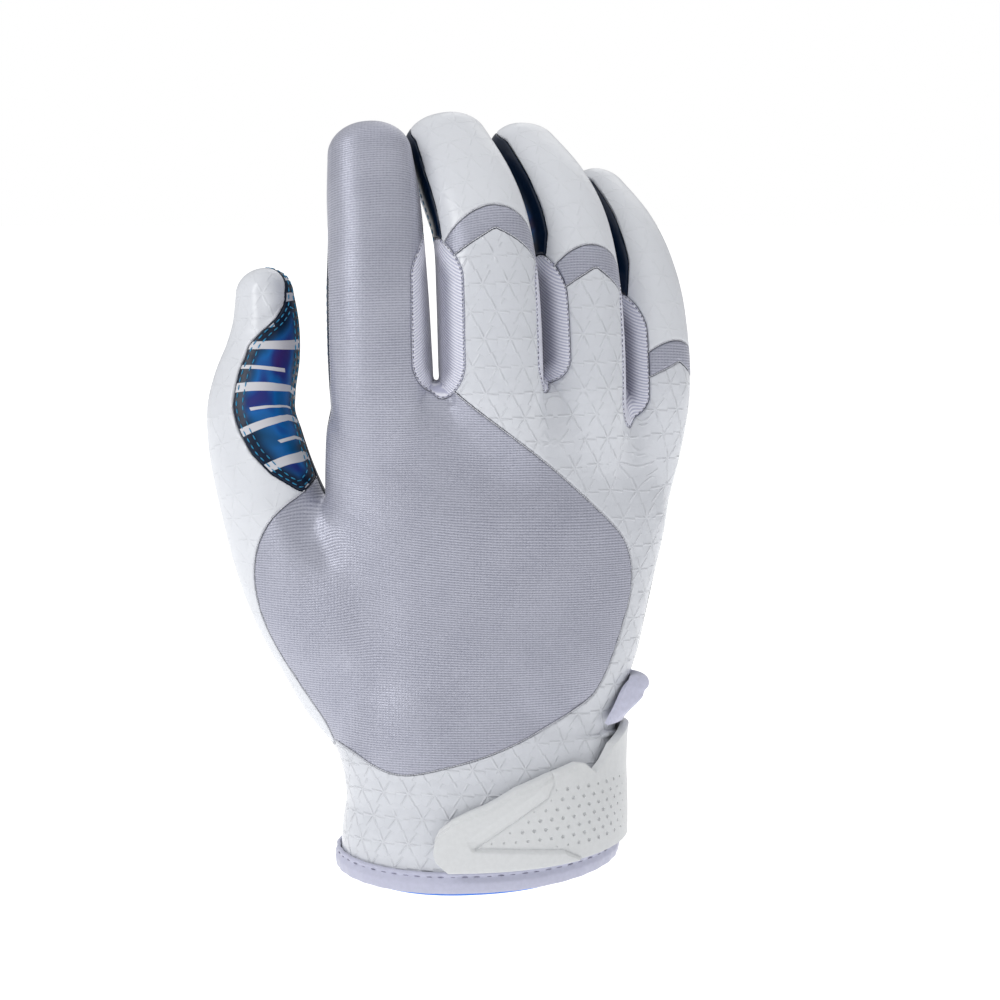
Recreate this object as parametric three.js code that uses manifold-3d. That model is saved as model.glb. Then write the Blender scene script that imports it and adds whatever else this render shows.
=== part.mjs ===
// A receiver's football glove for the right hand, in the shape that it has when it is worn.
// Millimetres, +Z up towards the fingertips, +X towards the little finger, -Y towards the back of the hand.
// The origin is the centre of the cuff's mouth. Every panel is a wall of its own, hollow inside.
import * as THREE from "three";
import { mergeVertices } from "three/addons/utils/BufferGeometryUtils.js";
import Module from "manifold-3d";

const wasm = await Module();
wasm.setup();

// Driving dimensions of the hand's form
const PALM_LENGTH = 137; // from the cuff's mouth to the webs of the fingers
const PALM_WIDTH = 102;
const PALM_DEPTH = 44;
const CUFF_WIDTH = 80;
const CUFF_DEPTH = 50;
const FINGER_GAP = 0.9; // air between neighbouring fingers at the web
const FINGERS = {
  index: { length: 100, width: 28.6, depth: 26 },
  middle: { length: 105, width: 28.6, depth: 26 },
  ring: { length: 102.5, width: 25.4, depth: 24.5 },
  little: { length: 88.5, width: 22.4, depth: 22 },
};
const THUMB = { length: 135.5, width: 29, depth: 28 };

// Driving dimensions of the cloth and the trim
const WALL = 1.5;
const SEAM_GAP = 0.36; // open line between two panels
const FIT_GAP = 0.35; // air between a solid and the wall that carries it
const FLEX_BAND = 6.6; // height of the knit band over a knuckle
const BINDING_HEIGHT = 6;
const BINDING_WALL = 1.1;
const PIPING_DROP = 0.7; // how far the lining's edge shows under the binding
const PIPING_WALL = 1.0;
const STRAP_WALL = 2.4;
const STRAP_RIM = 0.9; // how far the moulded rim stands over the strap's field
const STRAP_LIFT = 1.5; // air between the strap and the cuff
const STRAP_HEIGHT = 38; // from the binding to its highest edge, on the little finger's side
const VENT_LOOP = 5.8; // how far the loop of vent cloth stands out
const VENT_WALL = 1.1;

// How finely the form is faceted
const FINGER_SIDES = 14;
const BODY_SIDES = 26;
const FINGER_STEPS = 2; // rings per row of a finger's table
const CAP_RINGS = 3;
const SNAP = 0.12; // a cut this near a corner goes through the corner
const SHORTEST_EDGE = 0.5; // of a panel, after its cuts
const SHORTEST_SIDE = 1.5; // of the joined form's triangles
const WIDEST_STEP = 10; // degrees between the strap's columns
const ROUNDING = 0.5; // how far a corner drifts in one pass where the joins are rounded
const ROUNDING_INWARDS = 0.12; // share of it that is let through where the form bulges
const ROUNDING_PASSES = 6;
const ROUND_BELOW = [0.86, 1.0]; // the rounding fades out between these shares of PALM_LENGTH
const ROUND_ABOVE = 30; // no rounding in the cuff

const DEG = Math.PI / 180;
const clamp = (v, low, high) => Math.min(high, Math.max(low, v));
const mix = (a, b, t) => a + (b - a) * t;
const ease = (low, high, v) => {
  const t = clamp((v - low) / (high - low), 0, 1);
  return t * t * (3 - 2 * t);
};

// The hand's body from the mouth to the webs. up is a share of PALM_LENGTH. left and right are shares of half the
// width, deep of half the depth and back of the depth, of the cuff or of the palm as the row says. bow is how far the
// little finger's side swings back, as a share of PALM_DEPTH, and hem is how much of the hem's curve the row has.
const CUFF_SIZE = { width: CUFF_WIDTH, depth: CUFF_DEPTH };
const PALM_SIZE = { width: PALM_WIDTH, depth: PALM_DEPTH };
const BODY_ROWS = [
  { of: CUFF_SIZE, up: 0.0, left: 1.02, right: 0.905, deep: 1.0, back: 0.02, bow: 0, hem: 1 },
  { of: CUFF_SIZE, up: 0.07, left: 1.01, right: 0.91, deep: 0.99, back: 0.02, bow: 0, hem: 0.8 },
  { of: CUFF_SIZE, up: 0.15, left: 0.98, right: 0.91, deep: 0.96, back: 0.02, bow: 0.03, hem: 0.5 },
  { of: CUFF_SIZE, up: 0.23, left: 1.0, right: 0.905, deep: 0.94, back: 0.03, bow: 0.07, hem: 0.25 },
  { of: CUFF_SIZE, up: 0.31, left: 1.05, right: 0.92, deep: 0.92, back: 0.035, bow: 0.11, hem: 0.08 },
  { of: PALM_SIZE, up: 0.39, left: 0.79, right: 0.76, deep: 1.02, back: 0.05, bow: 0.17, hem: 0 },
  { of: PALM_SIZE, up: 0.48, left: 0.83, right: 0.85, deep: 0.99, back: 0.05, bow: 0.25, hem: 0 },
  { of: PALM_SIZE, up: 0.57, left: 0.85, right: 0.91, deep: 0.93, back: 0.04, bow: 0.34, hem: 0 },
  { of: PALM_SIZE, up: 0.66, left: 0.87, right: 0.97, deep: 0.86, back: 0.02, bow: 0.46, hem: 0 },
  { of: PALM_SIZE, up: 0.75, left: 0.88, right: 1.025, deep: 0.77, back: 0.0, bow: 0.58, hem: 0 },
  { of: PALM_SIZE, up: 0.84, left: 0.88, right: 1.05, deep: 0.67, back: 0.0, bow: 0.69, hem: 0 },
  { of: PALM_SIZE, up: 0.91, left: 0.87, right: 1.06, deep: 0.59, back: 0.0, bow: 0.75, hem: 0 },
  { of: PALM_SIZE, up: 0.97, left: 0.84, right: 1.04, deep: 0.5, back: 0.0, bow: 0.77, hem: 0 },
];
const BODY_CAP = 0.06; // height of the rounded end between the fingers, as a share of PALM_LENGTH

// A finger's sections from its root in the palm to the base of its round tip. along, side and curl are shares of its
// length (up, towards the little finger, towards the palm), wide and deep are shares of its width and depth, and spin
// turns the back of the finger towards the little finger, in degrees.
const FINGER_ROWS = {
  index: [
    { along: -0.22, side: 0.03, curl: 0.0, wide: 0.8, deep: 0.6, spin: -3 },
    { along: 0.0, side: 0.01, curl: 0.0, wide: 0.97, deep: 0.88, spin: -3 },
    { along: 0.25, side: -0.018, curl: 0.0, wide: 1.02, deep: 1.0, spin: -3 },
    { along: 0.5, side: -0.03, curl: 0.015, wide: 1.0, deep: 0.97, spin: -2 },
    { along: 0.68, side: -0.036, curl: 0.045, wide: 0.94, deep: 0.9, spin: 0 },
    { along: 0.8, side: -0.045, curl: 0.075, wide: 0.905, deep: 0.84, spin: 2 },
    { along: 0.91, side: -0.055, curl: 0.115, wide: 0.83, deep: 0.74, spin: 3 },
  ],
  middle: [
    { along: -0.22, side: 0.0, curl: 0.0, wide: 0.8, deep: 0.6, spin: 4 },
    { along: 0.0, side: 0.0, curl: 0.0, wide: 0.97, deep: 0.88, spin: 4 },
    { along: 0.245, side: -0.008, curl: 0.0, wide: 1.02, deep: 1.0, spin: 5 },
    { along: 0.49, side: -0.017, curl: 0.03, wide: 1.01, deep: 0.97, spin: 6 },
    { along: 0.655, side: -0.034, curl: 0.085, wide: 0.96, deep: 0.92, spin: 10 },
    { along: 0.77, side: -0.072, curl: 0.15, wide: 0.94, deep: 0.86, spin: 16 },
    { along: 0.885, side: -0.132, curl: 0.245, wide: 0.88, deep: 0.78, spin: 22 },
  ],
  ring: [
    { along: -0.22, side: -0.02, curl: -0.02, wide: 0.8, deep: 0.6, spin: 18 },
    { along: 0.0, side: 0.0, curl: 0.0, wide: 0.97, deep: 0.88, spin: 18 },
    { along: 0.24, side: 0.0, curl: 0.005, wide: 1.02, deep: 1.0, spin: 19 },
    { along: 0.49, side: -0.01, curl: 0.045, wide: 1.01, deep: 0.96, spin: 21 },
    { along: 0.66, side: -0.032, curl: 0.115, wide: 0.96, deep: 0.92, spin: 26 },
    { along: 0.78, side: -0.08, curl: 0.19, wide: 0.93, deep: 0.86, spin: 32 },
    { along: 0.885, side: -0.155, curl: 0.295, wide: 0.88, deep: 0.78, spin: 38 },
  ],
  little: [
    { along: -0.24, side: -0.1, curl: -0.05, wide: 0.75, deep: 0.55, spin: 34 },
    { along: 0.0, side: -0.03, curl: 0.0, wide: 0.94, deep: 0.86, spin: 35 },
    { along: 0.26, side: 0.005, curl: 0.01, wide: 1.0, deep: 1.0, spin: 38 },
    { along: 0.5, side: -0.004, curl: 0.055, wide: 0.98, deep: 0.96, spin: 41 },
    { along: 0.66, side: -0.037, curl: 0.12, wide: 0.95, deep: 0.92, spin: 45 },
    { along: 0.78, side: -0.088, curl: 0.195, wide: 0.92, deep: 0.86, spin: 48 },
    { along: 0.885, side: -0.16, curl: 0.285, wide: 0.86, deep: 0.78, spin: 52 },
  ],
};
// The thumb in the same columns, from the ball of the thumb to its tip.
const THUMB_ROWS = [
  { along: 0.0, side: 0.03, curl: 0.0, wide: 0.7, deep: 0.62, spin: -20 },
  { along: 0.1, side: -0.085, curl: 0.0, wide: 0.98, deep: 0.86, spin: -24 },
  { along: 0.21, side: -0.14, curl: 0.005, wide: 1.12, deep: 1.02, spin: -27 },
  { along: 0.315, side: -0.19, curl: 0.012, wide: 1.18, deep: 1.08, spin: -30 },
  { along: 0.42, side: -0.233, curl: 0.025, wide: 1.15, deep: 1.06, spin: -33 },
  { along: 0.54, side: -0.276, curl: 0.045, wide: 1.03, deep: 0.97, spin: -36 },
  { along: 0.625, side: -0.301, curl: 0.065, wide: 0.97, deep: 0.9, spin: -38 },
  { along: 0.69, side: -0.313, curl: 0.08, wide: 0.89, deep: 0.83, spin: -39 },
  { along: 0.75, side: -0.307, curl: 0.093, wide: 0.83, deep: 0.77, spin: -40 },
  { along: 0.815, side: -0.291, curl: 0.108, wide: 0.75, deep: 0.7, spin: -40 },
  { along: 0.875, side: -0.284, curl: 0.12, wide: 0.66, deep: 0.63, spin: -40 },
  { along: 0.94, side: -0.287, curl: 0.135, wide: 0.57, deep: 0.55, spin: -40 },
];
// The fold of cloth between the thumb and the palm. up is a share of PALM_LENGTH, side and half are shares of half
// PALM_WIDTH, back and thick of half PALM_DEPTH.
const WEB_ROWS = [
  { up: 0.33, side: -0.58, back: 0.1, half: 0.24, thick: 0.56, spin: -15 },
  { up: 0.42, side: -0.7, back: 0.08, half: 0.3, thick: 0.64, spin: -18 },
  { up: 0.51, side: -0.78, back: 0.08, half: 0.33, thick: 0.66, spin: -20 },
  { up: 0.6, side: -0.84, back: 0.12, half: 0.31, thick: 0.62, spin: -22 },
  { up: 0.68, side: -0.88, back: 0.18, half: 0.25, thick: 0.54, spin: -25 },
  { up: 0.74, side: -0.92, back: 0.24, half: 0.15, thick: 0.4, spin: -25 },
];

// Where the fingers and the thumb are rooted: up is a share of PALM_LENGTH, and turn is the direction, in degrees
// from +X towards the palm, in which the next finger lies.
const ROOT_UP = 0.82;
const MIDDLE_ROOT_SIDE = 0.026; // share of PALM_WIDTH from the centre plane
const NEIGHBOUR_TURN = { index: 0, ring: 30, little: 36 };
const THUMB_ROOT = { side: -0.235, back: 0.1, up: 0.265 }; // shares of PALM_WIDTH, PALM_DEPTH and PALM_LENGTH

// Catmull-Rom value of every numeric column of a table at row number t.
function rowAt(rows, t) {
  const i = clamp(Math.floor(t), 0, rows.length - 2);
  const f = t - i;
  const near = [-1, 0, 1, 2].map((k) => rows[clamp(i + k, 0, rows.length - 1)]);
  const made = {};
  for (const key of Object.keys(rows[i])) {
    const [a, b, c, d] = near.map((row) => row[key]);
    made[key] = b + 0.5 * f * (c - a + f * (2 * a - 5 * b + 4 * c - d + f * (3 * (b - c) + d - a)));
  }
  return made;
}

// A station of a tube: its centre, its frame and its half sizes. bow shears the +side end towards +Y.
function station(row) {
  return {
    centre: new THREE.Vector3(row.x, row.y, row.z),
    half: row.half,
    thick: row.thick,
    spin: row.spin ?? 0,
    bow: row.bow ?? 0,
    hem: row.hem ?? 0,
  };
}

// Smooth stations through a table's rows, with their frames: N is the back's direction and S the little finger's.
function stationsOf(rows, steps) {
  const list = [];
  for (let k = 0; k <= (rows.length - 1) * steps; k++) list.push(station(rowAt(rows, k / steps)));
  list.forEach((s, i) => {
    const before = list[Math.max(0, i - 1)];
    const after = list[Math.min(list.length - 1, i + 1)];
    s.T = after.centre.clone().sub(before.centre).normalize();
    frame(s);
  });
  return list;
}

function frame(s) {
  s.N = new THREE.Vector3(Math.sin(s.spin * DEG), -Math.cos(s.spin * DEG), 0);
  s.N.addScaledVector(s.T, -s.N.dot(s.T)).normalize();
  s.S = new THREE.Vector3().crossVectors(s.T, s.N);
}

// Round end: rings that follow a quarter of an ellipse past the last station, then a point.
function cap(last, reach, rings) {
  const made = [];
  for (let k = 1; k <= rings; k++) {
    const turn = (k / (rings + 1)) * (Math.PI / 2);
    made.push({
      ...last,
      centre: last.centre.clone().addScaledVector(last.T, reach * Math.sin(turn)),
      half: last.half * Math.cos(turn),
      thick: last.thick * Math.cos(turn),
      bow: last.bow * Math.cos(turn),
    });
  }
  return made;
}

const BOW_SOFTNESS = 0.18; // how softly the bow sets in at the centre plane, as a share of the half width
const bowAt = (s, u) => (s.bow * (u + Math.hypot(u, BOW_SOFTNESS))) / 2;
const SQUARENESS = 2.25; // exponent of the section's superellipse

// Height of the hem over its lowest point, at the front. u runs to the little finger's side and v to the back.
const HEM_RISE = { level: 5.7, side: 1.8, front: -2.5, ends: -3.2 };
const hemAt = (u, v) => HEM_RISE.level + HEM_RISE.side * u + HEM_RISE.front * v + HEM_RISE.ends * v * v;

// The point of a station's outline at an angle from the back, in radians, positive towards the little finger.
function outlinePoint(s, angle, grow = 0) {
  const c = Math.cos(angle);
  const w = Math.sin(angle);
  const u = Math.sign(w) * Math.abs(w) ** (2 / SQUARENESS);
  const v = Math.sign(c) * Math.abs(c) ** (2 / SQUARENESS);
  const point = s.centre
    .clone()
    .addScaledVector(s.S, u * (s.half + grow))
    .addScaledVector(s.N, v * (s.thick + grow) - bowAt(s, u));
  point.z += s.hem * hemAt(u, v);
  return point;
}

// A closed loft through rings of points of equal number, with a fan on each end.
function loft(rings, apex) {
  const n = rings[0].length;
  const points = rings.flat();
  const first = points.push(middleOf(rings[0])) - 1;
  const last = points.push(apex ?? middleOf(rings[rings.length - 1])) - 1;
  const faces = [];
  for (let k = 0; k < n; k++) {
    const j = (k + 1) % n;
    faces.push(first, j, k);
    for (let r = 0; r + 1 < rings.length; r++) {
      const a = r * n;
      faces.push(a + k, a + j, a + n + j, a + k, a + n + j, a + n + k);
    }
    const top = (rings.length - 1) * n;
    faces.push(last, top + k, top + j);
  }
  return { points, faces };
}

function middleOf(ring) {
  return ring.reduce((sum, p) => sum.add(p), new THREE.Vector3()).multiplyScalar(1 / ring.length);
}

function webTube() {
  const rows = WEB_ROWS.map((row) => ({
    x: (row.side * PALM_WIDTH) / 2,
    y: (row.back * PALM_DEPTH) / 2,
    z: row.up * PALM_LENGTH,
    half: (row.half * PALM_WIDTH) / 2,
    thick: (row.thick * PALM_DEPTH) / 2,
    spin: row.spin,
  }));
  return makeTube(rows, rows[rows.length - 1].half / 2, FINGER_SIDES, 1);
}

function tubeMesh(tube) {
  const rings = tube.all.map((s) =>
    Array.from({ length: tube.sides }, (_, k) => outlinePoint(s, (k / tube.sides) * 2 * Math.PI)),
  );
  const apex = tube.last.centre.clone().addScaledVector(tube.last.T, tube.reach);
  return loft(rings, apex);
}

function makeTube(rows, reach, sides, steps) {
  const stations = stationsOf(rows, steps);
  const last = stations[stations.length - 1];
  return { rows, stations, last, reach, sides, rootHeight: 0, all: [...stations, ...cap(last, reach, CAP_RINGS)] };
}

function bodyTube() {
  const rows = BODY_ROWS.map((row) => {
    const half = row.of.width / 2;
    return {
      x: (half * (row.right - row.left)) / 2,
      y: row.back * row.of.depth,
      z: row.up * PALM_LENGTH,
      half: (half * (row.left + row.right)) / 2,
      thick: (row.deep * row.of.depth) / 2,
      bow: row.bow * PALM_DEPTH,
      hem: row.hem,
      spin: 0,
    };
  });
  return makeTube(rows, BODY_CAP * PALM_LENGTH, BODY_SIDES, 1);
}

function digitTube(size, rows, root, steps) {
  const placed = rows.map((row) => ({
    x: root.x + row.side * size.length,
    y: root.y + row.curl * size.length,
    z: root.z + row.along * size.length,
    half: (row.wide * size.width) / 2,
    thick: (row.deep * size.depth) / 2,
    spin: row.spin,
  }));
  const tip = placed[placed.length - 1];
  return { ...makeTube(placed, tip.thick, FINGER_SIDES, steps), rootHeight: root.z };
}

// The fingers' roots, each a width and a gap from its neighbour.
function fingerRoots() {
  const z = ROOT_UP * PALM_LENGTH;
  const pitch = (a, b) => (FINGERS[a].width + FINGERS[b].width) / 2 + FINGER_GAP;
  const step = (from, distance, turn) =>
    new THREE.Vector3(from.x + distance * Math.cos(turn * DEG), from.y + distance * Math.sin(turn * DEG), z);
  const middle = new THREE.Vector3(MIDDLE_ROOT_SIDE * PALM_WIDTH, 0, z);
  const index = step(middle, -pitch("index", "middle"), NEIGHBOUR_TURN.index);
  const ring = step(middle, pitch("middle", "ring"), NEIGHBOUR_TURN.ring);
  const little = step(ring, pitch("ring", "little"), NEIGHBOUR_TURN.little);
  return { index, middle, ring, little };
}

const body = bodyTube();
const roots = fingerRoots();
const fingers = {};
for (const name of Object.keys(FINGERS)) {
  fingers[name] = digitTube(FINGERS[name], FINGER_ROWS[name], roots[name], FINGER_STEPS);
}
const web = webTube();
const thumb = digitTube(
  THUMB,
  THUMB_ROWS,
  new THREE.Vector3(THUMB_ROOT.side * PALM_WIDTH, THUMB_ROOT.back * PALM_DEPTH, THUMB_ROOT.up * PALM_LENGTH),
  1,
);

function toGeometry({ points, faces }) {
  const positions = new Float32Array(points.flatMap((p) => [p.x, p.y, p.z]));
  const geometry = new THREE.BufferGeometry();
  geometry.setAttribute("position", new THREE.BufferAttribute(positions, 3));
  geometry.setIndex(faces);
  return geometry;
}

function toSolid(geometry) {
  const bare = new THREE.BufferGeometry();
  bare.setAttribute("position", geometry.getAttribute("position"));
  bare.setIndex(geometry.index);
  const merged = mergeVertices(bare, 1e-4);
  return new wasm.Manifold(
    new wasm.Mesh({
      numProp: 3,
      vertProperties: merged.getAttribute("position").array,
      triVerts: new Uint32Array(merged.index.array),
    }),
  );
}

// The whole outer surface, as one mesh of points, faces and normals.
function outerSurface() {
  const tubes = [body, web, thumb, ...Object.values(fingers)];
  const joined = tubes.map((tube) => toSolid(toGeometry(tubeMesh(tube)))).reduce((a, b) => a.add(b));
  const mesh = joined.getMesh();
  const points = [];
  for (let i = 0; i < mesh.numVert; i++) {
    points.push(new THREE.Vector3().fromArray(mesh.vertProperties, i * mesh.numProp));
  }
  const faces = [];
  for (let i = 0; i < mesh.triVerts.length; i += 3) faces.push([...mesh.triVerts.slice(i, i + 3)]);
  return { points, faces };
}

function normalsOf(points, faces) {
  const normals = points.map(() => new THREE.Vector3());
  for (const face of faces) {
    const [a, b, c] = face.map((i) => points[i]);
    const flat = new THREE.Vector3().crossVectors(b.clone().sub(a), c.clone().sub(a)).normalize();
    face.forEach((i, k) => {
      const p = points[i];
      const q = points[face[(k + 1) % 3]].clone().sub(p);
      const r = points[face[(k + 2) % 3]].clone().sub(p);
      normals[i].addScaledVector(flat, q.angleTo(r));
    });
  }
  return normals.map((n) => n.normalize());
}


// Names a tube's nearest station to a point and says where the point lies in its frame: t is the station number, along
// the height over the root, u and v the shares of the half sizes, and off the distance outside the wall.
function localTo(tube, p) {
  let best = null;
  const list = tube.stations;
  for (let i = 0; i + 1 < list.length; i++) {
    const a = list[i].centre;
    const ab = list[i + 1].centre.clone().sub(a);
    const f = clamp(p.clone().sub(a).dot(ab) / ab.lengthSq(), 0, 1);
    const c = a.clone().addScaledVector(ab, f);
    const gap = c.distanceTo(p);
    if (!best || gap < best.gap) best = { gap, i, f, c };
  }
  const [a, b] = [list[best.i], list[best.i + 1]];
  const half = mix(a.half, b.half, best.f);
  const thick = mix(a.thick, b.thick, best.f);
  const q = p.clone().sub(best.c);
  const u = q.dot(a.S.clone().lerp(b.S, best.f).normalize()) / half;
  const bow = (mix(a.bow, b.bow, best.f) * (u + Math.hypot(u, BOW_SOFTNESS))) / 2;
  const v = (q.dot(a.N.clone().lerp(b.N, best.f).normalize()) + bow) / thick;
  const w = Math.max(0, q.dot(b.T)) / tube.reach;
  const beyond = best.i === list.length - 2 && best.f === 1 ? w : 0;
  const ring = (Math.abs(u) ** SQUARENESS + Math.abs(v) ** SQUARENESS) ** (1 / SQUARENESS);
  const rho = Math.hypot(ring, beyond);
  const along = best.c.z - tube.rootHeight + beyond * tube.reach;
  return { along, u, v, half, thick, off: (rho - 1) * Math.sqrt(half * thick), angle: Math.atan2(u, v) };
}

// Signed distance from a chain of points in the front view, [side, up], positive on its right as it runs.
function sideOfChain(chain, x, z) {
  let best = { gap: Infinity, sign: 1 };
  for (let i = 0; i + 1 < chain.length; i++) {
    const [ax, az] = chain[i];
    const [dx, dz] = [chain[i + 1][0] - ax, chain[i + 1][1] - az];
    const f = clamp(((x - ax) * dx + (z - az) * dz) / (dx * dx + dz * dz), 0, 1);
    const gap = Math.hypot(x - ax - f * dx, z - az - f * dz);
    if (gap < best.gap - 1e-9) best = { gap, sign: (x - ax) * dz - (z - az) * dx >= 0 ? 1 : -1 };
  }
  return best.gap * best.sign;
}

// Straight-line value of a table [{ at, is }] sorted by at.
function tableAt(table, at) {
  let i = 0;
  while (i < table.length - 2 && at > table[i + 1].at) i++;
  const [a, b] = [table[i], table[i + 1]];
  return mix(a.is, b.is, clamp((at - a.at) / (b.at - a.at), 0, 1));
}

// The lower edge of the knit back panel in the front view, from the web beside the index finger round to the wrist.
// side is a share of half PALM_WIDTH and up a share of PALM_LENGTH.
const KNIT_EDGE = [
  { side: -0.17, up: 2.0 },
  { side: -0.17, up: 1.1 },
  { side: -0.23, up: 1.03 },
  { side: -0.08, up: 0.985 },
  { side: 0.19, up: 0.91 },
  { side: 0.41, up: 0.84 },
  { side: 0.69, up: 0.74 },
  { side: 0.785, up: 0.695 },
  { side: 0.82, up: 0.64 },
  { side: 0.81, up: 0.58 },
  { side: 0.72, up: 0.475 },
  { side: 0.65, up: 0.415 },
  { side: 0.58, up: 0.38 },
  { side: 0.41, up: 0.345 },
  { side: 0.08, up: 0.285 },
  { side: -0.25, up: 0.25 },
  { side: -0.44, up: 0.235 },
  { side: -0.58, up: 0.245 },
  { side: -0.77, up: 0.285 },
  { side: -1.2, up: 0.33 },
];
// Where the thumb's panels meet the knit back in the front view, from the web of the thumb to the wrist.
const THUMB_EDGE = [
  { side: -0.93, up: 2.0 },
  { side: -0.93, up: 0.87 },
  { side: -0.91, up: 0.82 },
  { side: -1.18, up: 0.755 },
  { side: -1.28, up: 0.66 },
  { side: -1.25, up: 0.56 },
  { side: -1.15, up: 0.48 },
  { side: -1.01, up: 0.4 },
  { side: -0.84, up: 0.31 },
  { side: -0.8, up: 0.22 },
];
const KNIT_TOP = 1.03; // above this share of PALM_LENGTH the knit covers the index finger and no other
const CLEAR_OF_EDGE = 2;
const inFront = (edge) => edge.map((e) => [(e.side * PALM_WIDTH) / 2, e.up * PALM_LENGTH]);
const knitEdge = inFront(KNIT_EDGE);
const thumbEdge = inFront(THUMB_EDGE);

// Where the palm's edge runs on each side of a digit: at is a share of its length, is a share of its half depth towards
// the back (0 is the middle of the side).
const PALM_EDGE = {
  left: [
    { at: 0.0, is: -0.26 },
    { at: 0.5, is: -0.2 },
    { at: 0.72, is: 0.25 },
    { at: 0.86, is: 0.2 },
    { at: 0.97, is: -0.25 },
  ],
  right: [
    { at: 0.0, is: -0.26 },
    { at: 0.62, is: -0.2 },
    { at: 0.8, is: 0.05 },
    { at: 0.97, is: -0.25 },
  ],
};
// The same on the little finger's side of the hand: at is a share of PALM_LENGTH.
const HEEL_EDGE = [
  { at: 0.36, is: -0.06 },
  { at: 0.45, is: 0.14 },
  { at: 0.6, is: 0.2 },
  { at: 0.7, is: 0.12 },
  { at: 0.8, is: -0.06 },
];
const OUTER_PALM_EDGE = { index: -0.02, little: -0.08, thumb: -0.3, body: -0.06, web: -0.1 };
const PALM_START = 0.28; // lower edge of the palm panel and of the thumb's, as a share of PALM_LENGTH

// Where the printed panel's edge runs on the thumb: at is a share of the thumb's length, is the angle from its back.
const WRAP_EDGE = [
  { at: 0.5, is: 105 },
  { at: 0.545, is: 62 },
  { at: 0.6, is: 16 },
  { at: 0.7, is: 11 },
  { at: 0.8, is: 20 },
  { at: 0.87, is: 42 },
  { at: 0.92, is: 84 },
  { at: 0.96, is: 130 },
];
const WRAP_END = 150; // angle at which it meets the palm
const WRAP_START = 0.48; // share of the thumb's length at which it starts

// The knit bands over the knuckles: at is a share of the finger's length, peak how far the lower edge rises, in shares
// of the band's height for one radian, and round the same for the upper edge and a radian squared.
const BANDS = {
  middle: { at: 0.65, peak: 0.95, round: 0.6 },
  ring: { at: 0.56, peak: 0.95, round: 0.6 },
  little: { at: 0.35, peak: 0.75, round: 0.5 },
};

// Between which fingers the fourchettes lie: web is the height from which their lower ends are rounded, as a share of
// PALM_LENGTH, reach how far they run round the two fingers, and ends where they end, as shares of their lengths.
const WEBS = {
  index_middle: { pair: ["index", "middle"], web: 1.07, reach: [8.8, 11], ends: [0.76, 0.72] },
  middle_ring: { pair: ["middle", "ring"], web: 1.05, reach: [9.5, 7.5], ends: [0.7, 0.68] },
  ring_little: { pair: ["ring", "little"], web: 0.99, reach: [9, 7], ends: [0.66, 0.64] },
};
const REACH_BLEND = 3; // distance over which one finger's reach gives way to the other's
const END_TAPER = 0.26; // share of the length over which a fourchette narrows to its end

function fieldsAt(p) {
  const local = { body: localTo(body, p), web: localTo(web, p), thumb: localTo(thumb, p) };
  for (const name of Object.keys(fingers)) local[name] = localTo(fingers[name], p);
  const names = Object.keys(local);
  const own = names.reduce((a, b) => (local[b].off < local[a].off - 1e-6 ? b : a));
  const field = { own, hem: p.z - hemAt(clamp(local.body.u, -1, 1), clamp(local.body.v, -1, 1)) };
  field.thumb = Math.min(sideOfChain(thumbEdge, p.x, p.z), p.z - PALM_START * PALM_LENGTH);
  field.knit = sideOfChain(knitEdge, p.x, p.z);
  if (p.z > KNIT_TOP * PALM_LENGTH && own === "index") field.knit = Math.max(field.knit, CLEAR_OF_EDGE);
  else if (p.z > KNIT_TOP * PALM_LENGTH && own in FINGERS) field.knit = Math.min(field.knit, -CLEAR_OF_EDGE);
  // the palm: each tube has its own edge, and near a join they are mixed by closeness
  let sum = 0;
  let total = 0;
  for (const name of names) {
    const at = local[name];
    const near = Math.exp(-Math.max(0, at.off) / PALM_BLEND);
    sum += near * (at.v - palmEdgeOf(name, at)) * at.thick;
    total += near;
  }
  const palmward = -sum / total;
  field.palm = Math.min(palmward, p.z - PALM_START * PALM_LENGTH);
  field.thumb = Math.min(field.thumb, -palmward);
  field.knit = Math.min(field.knit, -palmward);
  for (const [name, web] of Object.entries(WEBS)) field[name] = fourchetteAt(web, local, p);
  for (const [name, band] of Object.entries(BANDS)) {
    const at = local[name];
    const turn = Math.min(Math.abs(at.angle), Math.PI / 2);
    const low = band.at * FINGERS[name].length - band.peak * FLEX_BAND * turn;
    const high = band.at * FINGERS[name].length + FLEX_BAND - band.round * FLEX_BAND * turn * turn;
    field[`${name}Low`] = own === name ? at.along - low : -FAR;
    field[`${name}High`] = own === name ? at.along - high : -FAR;
  }
  const at = local.thumb;
  const edge = tableAt(WRAP_EDGE, at.along / THUMB.length) * DEG;
  const radius = Math.sqrt(at.half * at.thick);
  const turn = at.angle < -WRAP_TURN_BACK * DEG ? at.angle + 2 * Math.PI : at.angle;
  const wrap = Math.min(turn - edge, WRAP_END * DEG - turn) * radius;
  field.wrap = Math.min(wrap, field.thumb, at.along - WRAP_START * THUMB.length);
  return field;
}

const FAR = 50;
const PALM_BLEND = 3.5; // distance over which one tube's palm edge gives way to the next one's
const WRAP_TURN_BACK = 120; // degrees past which an angle counts on from the palm's side

function palmEdgeOf(name, at) {
  if (name === "body") {
    const heel = tableAt(HEEL_EDGE, at.along / PALM_LENGTH);
    return mix(OUTER_PALM_EDGE.body, heel, ease(0.5, 0.9, at.u));
  }
  if (!(name in FINGERS)) return OUTER_PALM_EDGE[name];
  const share = at.along / FINGERS[name].length;
  const left = name === "index" ? OUTER_PALM_EDGE.index : tableAt(PALM_EDGE.left, share);
  const right = name === "little" ? OUTER_PALM_EDGE.little : tableAt(PALM_EDGE.right, share);
  return mix(left, right, ease(-0.5, 0.5, at.u));
}

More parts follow.
